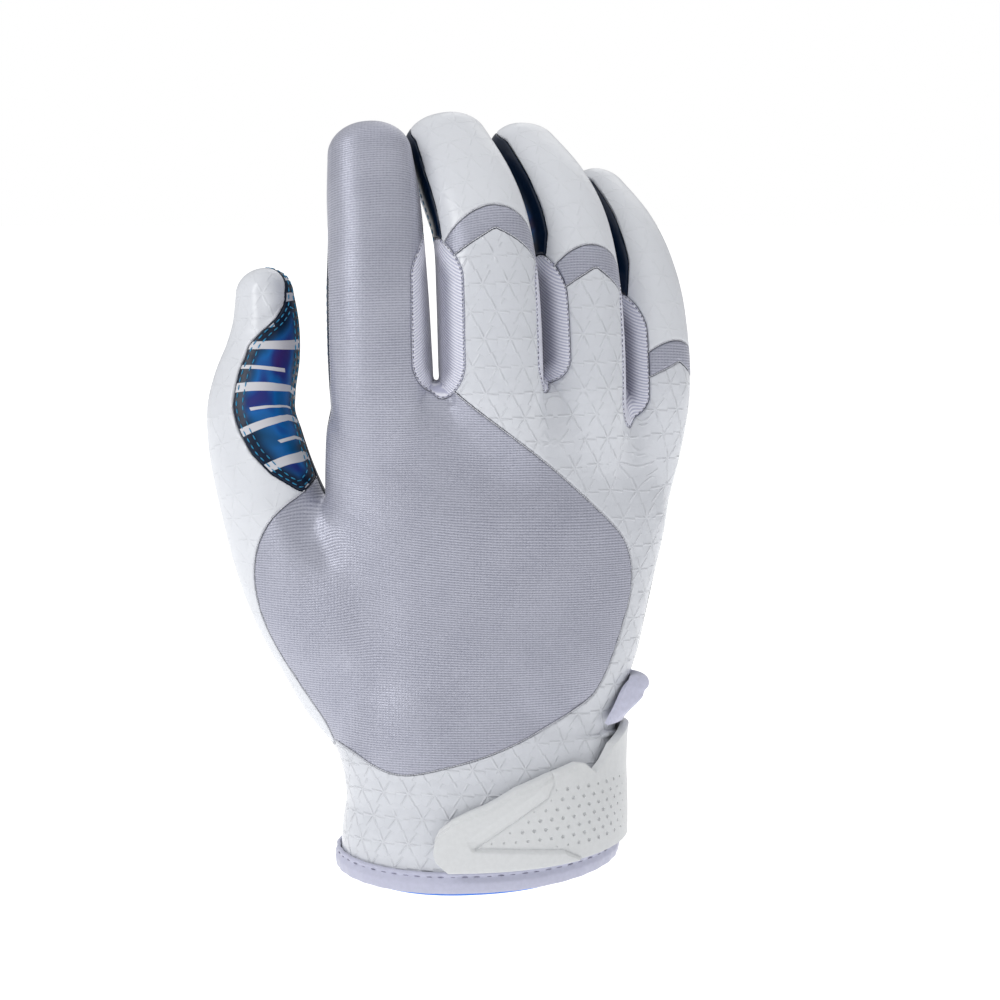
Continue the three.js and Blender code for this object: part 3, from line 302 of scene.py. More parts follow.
@dataclass
class Local:
    """Where points lie in a tube's own measure.

    Along is the height over its root, u and v are shares of the half sizes, off is the distance outside its
    skin, angle counts from its back, and arc and run are lengths on the cloth.
    """

    along: Grid
    u: Grid
    v: Grid
    half: Grid
    thick: Grid
    off: Grid
    angle: Grid
    arc: Grid
    run: Grid


class Tube:
    """The skin of one part of the hand: oval sections along a line, with a rounded end."""

    def __init__(self, rows: Grid, reach: float, sides: int, root_height: float = 0.0) -> None:
        """Makes the sections.

        Args:
            rows: x, y, z, half, thick, spin in degrees, bow and hem of each section.
            reach: height of the rounded end.
            sides: corners of each section's mesh.
            root_height: height from which along counts.
        """
        self.rows = rows
        self.reach = reach
        self.sides = sides
        self.root_height = root_height
        steps = np.linspace(0, len(rows) - 1, (len(rows) - 1) * TUBE_STEPS + 1)
        made = catmull_rom(rows, steps)
        self.centre = made[:, :3]
        self.half, self.thick, spin, self.bow, self.hem = made[:, 3:].T
        before = self.centre[np.maximum(np.arange(len(made)) - 1, 0)]
        after = self.centre[np.minimum(np.arange(len(made)) + 1, len(made) - 1)]
        self.along_axis = unit(after - before)
        spin = np.radians(spin)
        back = np.stack([np.sin(spin), -np.cos(spin), np.zeros_like(spin)], 1)
        back -= self.along_axis * (back * self.along_axis).sum(1, keepdims=True)
        self.back_axis = unit(back)
        self.side_axis = np.cross(self.along_axis, self.back_axis)
        self.length_at = lengths_along(self.centre)

    def rings(self) -> Grid:
        """Points of every section, those of the rounded end included, as sections x sides x 3."""
        angle = np.arange(self.sides) / self.sides * 2 * np.pi
        u, v = oval(angle)
        turn = np.arange(1, CAP_RINGS + 1) / (CAP_RINGS + 1) * np.pi / 2
        shrink = np.concatenate([np.ones(len(self.centre)), np.cos(turn)])
        pick = np.minimum(np.arange(len(shrink)), len(self.centre) - 1)
        lift = np.concatenate([np.zeros(len(self.centre)), self.reach * np.sin(turn)])
        centre = self.centre[pick] + self.along_axis[pick] * lift[:, None]
        half, thick, bow = ((x[pick] * shrink)[:, None] for x in (self.half, self.thick, self.bow))
        hem = self.hem[pick][:, None]
        points = centre[:, None] + self.side_axis[pick][:, None] * (u * half)[..., None]
        points += self.back_axis[pick][:, None] * (v * thick - bow_at(bow, u))[..., None]
        points[..., 2] += hem * hem_at(u, v)
        return points

    def mesh(self, name: str) -> bpy.types.Object:
        """A closed mesh object of the tube, in millimetres.

        Args:
            name: the object's name.

        Returns:
            The object.
        """
        rings = self.rings()
        count, sides = rings.shape[:2]
        apex = self.centre[-1] + self.along_axis[-1] * self.reach
        points = np.vstack([rings.reshape(-1, 3), rings[0].mean(0), apex])
        k = np.arange(sides)
        j = (k + 1) % sides
        quads = [
            np.stack([r * sides + k, r * sides + j, (r + 1) * sides + j, (r + 1) * sides + k], 1)
            for r in range(count - 1)
        ]
        top = (count - 1) * sides
        fans = np.vstack(
            [
                np.stack([np.full(sides, count * sides), j, k], 1),
                np.stack([np.full(sides, count * sides + 1), top + k, top + j], 1),
            ]
        )
        mesh = bpy.data.meshes.new(name)
        mesh.from_pydata(points.tolist(), [], np.vstack(quads).tolist() + fans.tolist())
        return set_out(name, mesh)

    def local(self, points: Grid) -> Local:
        """Measures points in the tube's own terms.

        Args:
            points: one point per row.

        Returns:
            The measures, one value per point.
        """
        gap = np.full(len(points), np.inf)
        best, share = np.zeros(len(points), int), np.zeros(len(points))
        for i in range(len(self.centre) - 1):
            step = self.centre[i + 1] - self.centre[i]
            f = np.clip((points - self.centre[i]) @ step / (step @ step), 0.0, 1.0)
            here = np.linalg.norm(points - self.centre[i] - f[:, None] * step, axis=1)
            nearer = here < gap
            gap, best, share = (
                np.where(nearer, new, old) for new, old in ((here, gap), (i, best), (f, share))
            )

        def between(values: Grid) -> Grid:
            """The sections' values at every point's place on the line."""
            f = share if values.ndim == 1 else share[:, None]
            return values[best] * (1 - f) + values[best + 1] * f

        centre = between(self.centre)
        half, thick = between(self.half), between(self.thick)
        q = points - centre
        u = (q * unit(between(self.side_axis))).sum(1) / half
        v = ((q * unit(between(self.back_axis))).sum(1) + bow_at(between(self.bow), u)) / thick
        over = np.maximum(0.0, (q * self.along_axis[best + 1]).sum(1)) / self.reach
        beyond = np.where((best == len(self.centre) - 2) & (share >= 1), over, 0.0)
        ring = (np.abs(u) ** SQUARENESS + np.abs(v) ** SQUARENESS) ** (1 / SQUARENESS)
        angle = np.arctan2(u, v)
        round_end = np.arcsin(np.clip(beyond, 0.0, 1.0))
        return Local(
            along=centre[:, 2] - self.root_height + beyond * self.reach,
            u=u,
            v=v,
            half=half,
            thick=thick,
            off=(np.hypot(ring, beyond) - 1) * np.sqrt(half * thick),
            angle=angle,
            arc=arc_length(angle, half, thick),
            run=between(self.length_at) + self.reach * round_end,
        )

    def height_on_cloth(self, at: Local, z: Grid) -> Grid:
        """Place along the flat cloth: the height, and over the end of a digit the length of the cloth.

        Args:
            at: the points in the tube's own measure.
            z: their heights.

        Returns:
            One place per point.
        """
        middle = (self.centre[0, 2] + self.centre[-1, 2]) / 2
        length_there = np.interp(middle, self.centre[:, 2], self.length_at)
        share = smoothstep(middle - CLOTH_TURN, middle + CLOTH_TURN, z)
        return z + (middle + at.run - length_there - z) * share

    def skin_point(self, degrees: Grid, height: Grid, grow: Grid) -> Grid:
        """Points on the level sections of the body.

        Args:
            degrees: angle from the back, positive to the little finger.
            height: height over the hem.
            grow: distance outside the skin.

        Returns:
            One point per row.
        """
        steps = np.linspace(0, len(self.rows) - 1, (len(self.rows) - 1) * LEVEL_STEPS)
        made = catmull_rom(self.rows, steps)
        x, y, half, thick, bow, hem = (np.interp(height, made[:, 2], made[:, k]) for k in (0, 1, 3, 4, 6, 7))
        u, v = oval(np.radians(degrees))
        side = x + u * (half + grow)
        back = y - v * (thick + grow) + bow_at(bow, u)
        return np.stack([side, back, height + hem * hem_at(u, v)], -1)


def arc_length(angle: Grid, half: Grid, thick: Grid, pieces: int = 12) -> Grid:
    """Length on a section from its back to an angle, by the midpoint rule."""
    middles = (np.arange(pieces) + 0.5) / pieces
    turn = angle[:, None] * middles
    speed = np.hypot(half[:, None] * np.cos(turn), thick[:, None] * np.sin(turn))
    return speed.mean(1) * angle


class Hand:
    """The form that the glove is cut to: body, web, thumb and four fingers."""

    def __init__(self) -> None:
        """Places every tube from the driving dimensions."""
        self.roots = self.finger_roots()
        self.tubes = {"body": self.body(), "web": self.web()}
        thumb_root = np.array(THUMB_ROOT) * (PALM_WIDTH, PALM_DEPTH, PALM_LENGTH)
        self.tubes["thumb"] = self.digit(THUMB_SIZE, THUMB, thumb_root)
        for name, size in FINGER_SIZES.items():
            self.tubes[name] = self.digit(size, DIGITS[name], self.roots[name])

    @staticmethod
    def finger_roots() -> dict[str, Grid]:
        """The fingers' roots, each a width and a gap from its neighbour."""

        def step(start: Grid, a: str, b: str, turn: float) -> Grid:
            """The root of a finger next to the one at start."""
            distance = (FINGER_SIZES[a][1] + FINGER_SIZES[b][1]) / 2 + FINGER_GAP
            turn = math.radians(turn)
            return start + distance * np.array([math.cos(turn), math.sin(turn), 0.0])

        middle = np.array([MIDDLE_ROOT_SIDE * PALM_WIDTH, 0.0, ROOT_UP * PALM_LENGTH])
        index = middle * 2 - step(middle, "index", "middle", NEIGHBOUR_TURN["index"])
        ring = step(middle, "middle", "ring", NEIGHBOUR_TURN["ring"])
        little = step(ring, "ring", "little", NEIGHBOUR_TURN["little"])
        return {"index": index, "middle": middle, "ring": ring, "little": little}

    @staticmethod
    def body() -> Tube:
        """The body of the hand from the cuff's mouth to the webs."""
        cuff = BODY.column("cuff")
        width = np.where(cuff, CUFF_WIDTH, PALM_WIDTH)
        depth = np.where(cuff, CUFF_DEPTH, PALM_DEPTH)
        left, right = BODY.column("left"), BODY.column("right")
        rows = np.stack(
            [
                width * (right - left) / 4,
                BODY.column("back") * depth,
                BODY.column("up") * PALM_LENGTH,
                width * (left + right) / 4,
                BODY.column("deep") * depth / 2,
                np.zeros(len(cuff)),
                BODY.column("bow") * PALM_DEPTH,
                BODY.column("hem"),
            ],
            1,
        )
        return Tube(rows, BODY_CAP * PALM_LENGTH, BODY_SIDES)

    @staticmethod
    def web() -> Tube:
        """The fold between the thumb and the palm."""
        half = WEB.column("half") * PALM_WIDTH / 2
        still = np.zeros(len(half))
        rows = np.stack(
            [
                WEB.column("side") * PALM_WIDTH / 2,
                WEB.column("back") * PALM_DEPTH / 2,
                WEB.column("up") * PALM_LENGTH,
                half,
                WEB.column("thick") * PALM_DEPTH / 2,
                WEB.column("spin"),
                still,
                still,
            ],
            1,
        )
        return Tube(rows, half[-1] / 2, TUBE_SIDES)

    @staticmethod
    def digit(size: tuple[float, float, float], table: Table, root: Grid) -> Tube:
        """A finger or the thumb.

        Args:
            size: length, width and depth.
            table: its sections in shares of those.
            root: where it starts.

        Returns:
            The tube.
        """
        length, width, depth = size
        still = np.zeros(len(table.rows))
        thick = table.column("deep") * depth / 2
        rows = np.stack(
            [
                root[0] + table.column("side") * length,
                root[1] + table.column("curl") * length,
                root[2] + table.column("along") * length,
                table.column("wide") * width / 2,
                thick,
                table.column("spin"),
                still,
                still,
            ],
            1,
        )
        return Tube(rows, thick[-1], TUBE_SIDES, root[2])

    def skin(self) -> tuple[Grid, Grid]:
        """The whole outer surface as points and triangles: the tubes joined, and the joins rounded."""
        tubes = [tube.mesh(name) for name, tube in self.tubes.items()]
        joined = tubes[0]
        for other in tubes[1:]:
            union = joined.modifiers.new("union", "BOOLEAN")
            union.operation, union.solver, union.object = "UNION", "EXACT", other
        mesh = plain_mesh(joined)
        net = bmesh.new()
        net.from_mesh(mesh)
        bmesh.ops.triangulate(net, faces=net.faces)
        bmesh.ops.remove_doubles(net, verts=net.verts, dist=WELD)
        bmesh.ops.dissolve_degenerate(net, edges=net.edges, dist=SLIVER)
        bmesh.ops.triangulate(net, faces=net.faces)
        net.verts.index_update()
        points = np.array([vertex.co[:] for vertex in net.verts])
        faces = np.array([[vertex.index for vertex in face.verts] for face in net.faces])
        net.free()
        for made in tubes:
            bpy.data.objects.remove(made)
        points = rounded(points, faces)
        points, faces = halved(points, faces)
        return relaxed(points, faces, FINISH_PASSES), faces


def plain_mesh(made: bpy.types.Object) -> bpy.types.Mesh:
    """The object's mesh with its modifiers applied."""
    graph = bpy.context.evaluated_depsgraph_get()
    return bpy.data.meshes.new_from_object(made.evaluated_get(graph), depsgraph=graph)


def settle(made: bpy.types.Object, modifier: bpy.types.Modifier) -> None:
    """Makes what a modifier does part of the object's own mesh."""
    mesh = plain_mesh(made)
    made.modifiers.remove(modifier)
    made.data = mesh


def sides_of_faces(faces: Grid) -> Grid:
    """The three sides of every triangle, in its direction."""
    return np.vstack([faces[:, [0, 1]], faces[:, [1, 2]], faces[:, [2, 0]]])


def edges_of(faces: Grid) -> Grid:
    """Every edge of the triangles once, lowest corner first."""
    return np.unique(np.sort(sides_of_faces(faces), axis=1), axis=0)


def normals_of(points: Grid, faces: Grid) -> Grid:
    """Corner normals, weighted by area.

    Args:
        points: the corners.
        faces: the triangles.

    Returns:
        One normal per corner.
    """
    a, b, c = points[faces[:, 0]], points[faces[:, 1]], points[faces[:, 2]]
    flat = np.cross(b - a, c - a)
    total = np.stack(
        [
            sum(np.bincount(faces[:, k], flat[:, axis], len(points)) for k in range(3))
            for axis in range(3)
        ],
        1,
    )
    return unit(total)


class Neighbours:
    """The mean of each corner's neighbours, over and over."""

    def __init__(self, faces: Grid, count: int) -> None:
        """Notes who is next to whom."""
        edges = edges_of(faces)
        self.here = np.concatenate([edges[:, 0], edges[:, 1]])
        self.there = np.concatenate([edges[:, 1], edges[:, 0]])
        self.count = count
        self.share = 1 / np.maximum(np.bincount(self.here, minlength=count), 1)

    def drift(self, points: Grid) -> Grid:
        """How far each point lies from the middle of its neighbours."""
        near = points[self.there]
        middle = np.stack([np.bincount(self.here, near[:, k], self.count) for k in range(3)], 1)
        return middle * self.share[:, None] - points


def rounded(points: Grid, faces: Grid) -> Grid:
    """Fills the joins of the tubes: near them, corners drift outwards to the middle of their neighbours.

    Args:
        points: the corners.
        faces: the triangles.

    Returns:
        The corners' new places.
    """
    hold = ROUNDING * (1 - smoothstep(*ROUND_BELOW, points[:, 2] / PALM_LENGTH))
    hold *= points[:, 2] > ROUND_ABOVE
    near = Neighbours(faces, len(points))
    for _ in range(ROUNDING_PASSES):
        drift = near.drift(points)
        outwards = (drift * normals_of(points, faces)).sum(1) > 0
        share = hold * np.where(outwards, 1.0, ROUNDING_INWARDS)
        points = points + drift * share[:, None]
    return points


def relaxed(points: Grid, faces: Grid, passes: int) -> Grid:
    """Evens out small lumps, without shrinking the form.

    Args:
        points: the corners.
        faces: the triangles.
        passes: how often.

    Returns:
        The corners' new places.
    """
    near = Neighbours(faces, len(points))
    for _ in range(passes):
        points = points + DRAW_IN * near.drift(points)
        points = points - LET_OUT * near.drift(points)
    return points


def halved(points: Grid, faces: Grid) -> tuple[Grid, Grid]:
    """Splits every triangle into four at the middles of its edges.

    Args:
        points: the corners.
        faces: the triangles.

    Returns:
        The corners and the triangles after it.
    """
    edges = edges_of(faces)
    keys = edges[:, 0] * len(points) + edges[:, 1]
    middles = (points[edges[:, 0]] + points[edges[:, 1]]) / 2

    def middle_of(a: Grid, b: Grid) -> Grid:
        """Numbers of the new corners between two old ones."""
        key = np.minimum(a, b) * len(points) + np.maximum(a, b)
        return len(points) + np.searchsorted(keys, key)

    a, b, c = faces.T
    ab, bc, ca = middle_of(a, b), middle_of(b, c), middle_of(c, a)
    corners = [np.stack(t, 1) for t in ((a, ab, ca), (ab, b, bc), (ca, bc, c), (ab, bc, ca))]
    return np.vstack([points, middles]), np.vstack(corners)


# The lower edge of the knit back panel in the front view, from the web beside the index finger to the wrist
KNIT_EDGE = Table(
    ("side", "up"),
    (
        (-0.17, 2.0),
        (-0.17, 1.1),
        (-0.23, 1.03),
        (-0.08, 0.985),
        (0.19, 0.91),
        (0.41, 0.84),
        (0.69, 0.74),
        (0.785, 0.695),
        (0.82, 0.64),
        (0.81, 0.58),
        (0.72, 0.475),
        (0.65, 0.415),
        (0.58, 0.38),
        (0.41, 0.345),
        (0.08, 0.285),
        (-0.25, 0.25),
        (-0.44, 0.235),
        (-0.58, 0.245),
        (-0.77, 0.285),
        (-1.2, 0.33),
    ),
)
# Where the thumb's panels meet the knit back in the front view, from the web of the thumb to the wrist
THUMB_EDGE = Table(
    ("side", "up"),
    (
        (-0.93, 2.0),
        (-0.93, 0.87),
        (-0.91, 0.82),
        (-1.18, 0.755),
        (-1.28, 0.66),
        (-1.25, 0.56),
        (-1.15, 0.48),
        (-1.01, 0.4),
        (-0.84, 0.31),
        (-0.8, 0.22),
    ),
)
KNIT_TOP = 1.03  # above this share of PALM_LENGTH the knit is on the index finger alone
CLEAR_OF_EDGE = 2.0
# Where the palm's edge runs on each side of a finger: a share of its length, and a share of its half depth
PALM_EDGE_LEFT = Table(("at", "is"), ((0.0, -0.26), (0.45, -0.1), (0.64, 0.5), (0.88, 0.56), (0.99, 0.1)))
PALM_EDGE_RIGHT = Table(("at", "is"), ((0.0, -0.1), (0.35, 0.12), (0.7, 0.2), (0.8, 0.05), (0.97, -0.25)))
HEEL_EDGE = Table(("at", "is"), ((0.36, -0.06), (0.45, 0.14), (0.6, 0.2), (0.7, 0.12), (0.8, -0.06)))
INDEX_EDGE = Table(("at", "is"), ((0.0, 0.36), (0.2, 0.42), (0.56, 0.42), (0.68, 0.05), (0.97, -0.2)))
OUTER_PALM_EDGE = {"little": -0.08, "thumb": -0.62, "body": -0.06, "web": -0.1}
HEEL_BLEND = (0.5, 0.9)  # where across the body the heel's edge takes over
SIDE_BLEND = 0.5  # over this share of a finger's half width to each side, its two edges blend
PALM_START = 0.28  # where the panels of palm and thumb start, as a share of PALM_LENGTH
PALM_BLEND = 3.5  # the distance over which the palm's edge passes from one tube to the next
# Where the printed panel's edge runs on the thumb: a share of its length, and the angle from its back
WRAP_EDGE = Table(
    ("at", "is"),
    (
        (0.47, 105),
        (0.515, 66),
        (0.553, 45),
        (0.6, 30),
        (0.65, 22),
        (0.7, 15),
        (0.77, 13),
        (0.82, 16),
        (0.835, 22),
        (0.855, 34),
        (0.885, 64),
        (0.91, 84),
        (0.96, 96),
    ),
)
WRAP_END = 172.0  # the angle of its other edge, on the palm side
WRAP_START = 0.43  # its lowest place, as a share of the thumb's length
WRAP_TURN_BACK = 120.0  # angles past this on the other side count on round the palm
# The knit bands over the knuckles: where they lie, and how far their lower and upper edges rise in the middle
BANDS = {"middle": (0.632, 0.95, 0.75), "ring": (0.545, 0.95, 0.75), "little": (0.35, 0.75, 0.6)}
BAND_TURN = 0.15  # how far the bands' peaks are turned to the little finger, in radians
BAND_SHARE = 0.82  # the bands' height in the middle, as a share of FLEX_BAND
# Between which fingers the fourchettes lie: the height of their feet, their reaches and their ends
WEBS = {
    ("index", "middle"): (1.07, (8.8, 11.0), (0.76, 0.72)),
    ("middle", "ring"): (1.075, (10.4, 7.5), (0.7, 0.68)),
    ("ring", "little"): (0.99, (9.9, 7.0), (0.66, 0.64)),
}
CHAIN_PASSES = 3  # how often a chain's corners are cut off
CORNER_CUT = 0.25
NEARER_BY = 1e-9
REACH_BLEND = 3.0  # the distance over which a strip's reach passes from one finger to the other
END_TAPER = 0.2  # the share of a finger over which a strip narrows to its end
FAR = 50.0  # a distance well outside every panel's edge


def sides_of(starts: Grid, ends: Grid, x: Grid, z: Grid) -> Iterator[tuple[Pair, Pair, Grid]]:
    """Goes along straight sides in the front view.

    Args:
        starts: where each side starts.
        ends: where each side ends.
        x: the points' places across.
        z: the points' heights.

    Yields:
        The side's start, its step and the distance of every point from it.
    """
    for (ax, az), (bx, bz) in zip(starts, ends):
        dx, dz = bx - ax, bz - az
        f = np.clip(((x - ax) * dx + (z - az) * dz) / (dx * dx + dz * dz), 0, 1)
        yield (ax, az), (dx, dz), np.hypot(x - ax - f * dx, z - az - f * dz)


def side_of_chain(chain: Table, x: Grid, z: Grid) -> Grid:
    """Signed distance from a rounded chain in the front view, positive on its right as it runs.

    Args:
        chain: its corners in shares of the palm's size.
        x: the points' places across.
        z: the points' heights.

    Returns:
        One distance per point.
    """
    corners = np.stack([chain.column("side") * PALM_WIDTH / 2, chain.column("up") * PALM_LENGTH], 1)
    for _ in range(CHAIN_PASSES):
        here, ahead = corners[:-1], corners[1:]
        cut = [here * (1 - share) + ahead * share for share in (CORNER_CUT, 1 - CORNER_CUT)]
        cut = np.stack(cut, 1)
        corners = np.vstack([corners[:1], cut.reshape(-1, 2), corners[-1:]])
    gap, sign = np.full(len(x), np.inf), np.ones(len(x))
    for (ax, az), (dx, dz), here in sides_of(corners[:-1], corners[1:], x, z):
        side = np.where((x - ax) * dz - (z - az) * dx >= 0, 1.0, -1.0)
        nearer = here < gap - NEARER_BY
        gap, sign = np.where(nearer, here, gap), np.where(nearer, side, sign)
    return gap * sign


def palm_edge(name: str, at: Local) -> Grid:
    """How far to the back the palm panel reaches on a tube, as a share of its half depth.

    Args:
        name: the tube.
        at: the points in its own measure.

    Returns:
        One share per point.
    """
    if name == "body":
        heel = HEEL_EDGE.read("is", at.along / PALM_LENGTH)
        return OUTER_PALM_EDGE[name] + (heel - OUTER_PALM_EDGE[name]) * smoothstep(*HEEL_BLEND, at.u)
    if name not in FINGER_SIZES:
        return np.full(len(at.u), OUTER_PALM_EDGE[name])
    share = at.along / FINGER_SIZES[name][0]
    left = (INDEX_EDGE if name == "index" else PALM_EDGE_LEFT).read("is", share)
    right = OUTER_PALM_EDGE[name] if name in OUTER_PALM_EDGE else PALM_EDGE_RIGHT.read("is", share)
    return left + (right - left) * smoothstep(-SIDE_BLEND, SIDE_BLEND, at.u)


def fourchette(pair: tuple[str, str], local: dict[str, Local], z: Grid) -> Grid:
    """Signed distance inside the edge of a strip between two fingers.

    Args:
        pair: the two fingers.
        local: the points in every tube's own measure.
        z: the points' heights.

    Returns:
        One distance per point.
    """
    foot, reach, ends = WEBS[pair]
    a, b = (local[name] for name in pair)
    under = np.maximum(0, foot * PALM_LENGTH - z)
    gap = np.maximum(np.hypot(np.maximum(0, a.off), under), np.hypot(np.maximum(0, b.off), under))
    left = [
        width * (1 - smoothstep(end - END_TAPER, end, local[name].along / FINGER_SIZES[name][0]))
        for name, width, end in zip(pair, reach, ends)
    ]
    share = smoothstep(-REACH_BLEND, REACH_BLEND, a.off - b.off)
    return left[0] + (left[1] - left[0]) * share - gap


def measures(hand: Hand, points: Grid) -> dict[str, Grid]:
    """Signed distances inside every panel's edge, and the place of each point on the flat cloth.

    Args:
        hand: the form.
        points: points on its skin.

    Returns:
        One named array for each measure.
    """
    local = {name: tube.local(points) for name, tube in hand.tubes.items()}
    names = list(local)
    own = np.array([local[name].off for name in names]).argmin(0)
    owner = {name: own == k for k, name in enumerate(names)}
    x, z = points[:, 0], points[:, 2]
    body = local["body"]
    made = {"hem": z - hem_at(np.clip(body.u, -1, 1), np.clip(body.v, -1, 1))}
    start = z - PALM_START * PALM_LENGTH
    knit = side_of_chain(KNIT_EDGE, x, z)
    above = z > KNIT_TOP * PALM_LENGTH
    others = above & (owner["middle"] | owner["ring"] | owner["little"])
    knit = np.where(above & owner["index"], np.maximum(knit, CLEAR_OF_EDGE), knit)
    knit = np.where(others, np.minimum(knit, -CLEAR_OF_EDGE), knit)
    near = {name: np.exp(-np.maximum(0, at.off) / PALM_BLEND) for name, at in local.items()}
    total = sum(near.values())
    palmward = -sum(near[n] * (local[n].v - palm_edge(n, local[n])) * local[n].thick for n in names) / total
    made["palm"] = np.minimum(palmward, start)
    made["thumb"] = np.minimum(np.minimum(side_of_chain(THUMB_EDGE, x, z), start), -palmward)
    made["knit"] = np.minimum(knit, -palmward)
    for pair in WEBS:
        made["_".join(pair)] = fourchette(pair, local, z)
    for name, (place, peak, bend) in BANDS.items():
        at, length = local[name], FINGER_SIZES[name][0]
        turn = np.minimum(np.abs(at.angle - BAND_TURN), np.pi / 2)
        low = at.along - place * length + peak * FLEX_BAND * turn
        high = at.along - place * length - BAND_SHARE * FLEX_BAND + bend * FLEX_BAND * turn * turn
        made[name + "_low"] = np.where(owner[name], low, -FAR)
        made[name + "_high"] = np.where(owner[name], high, -FAR)
    thumb = local["thumb"]
    edge = WRAP_EDGE.read("is", thumb.along / THUMB_SIZE[0])
    back = thumb.angle < -math.radians(WRAP_TURN_BACK)
    turn = np.where(back, thumb.angle + 2 * np.pi, thumb.angle)
    wrap = np.minimum(turn - np.radians(edge), math.radians(WRAP_END) - turn)
    wrap = wrap * np.sqrt(thumb.half * thumb.thick)
    made["wrap"] = np.minimum(np.minimum(wrap, made["thumb"]), thumb.along - WRAP_START * THUMB_SIZE[0])
    flat = {"u": 0.0, "v": 0.0}
    for name, at in local.items():
        flat["u"] = flat["u"] + near[name] ** 2 * (hand.tubes[name].centre[0][0] + at.arc)
        flat["v"] = flat["v"] + near[name] ** 2 * hand.tubes[name].height_on_cloth(at, z)
    weight = sum(share**2 for share in near.values())
    made["u"], made["v"] = flat["u"] / weight, flat["v"] / weight
    return made


RIM_MARKS = 4  # marks along each edge of a rim, from which distances are taken


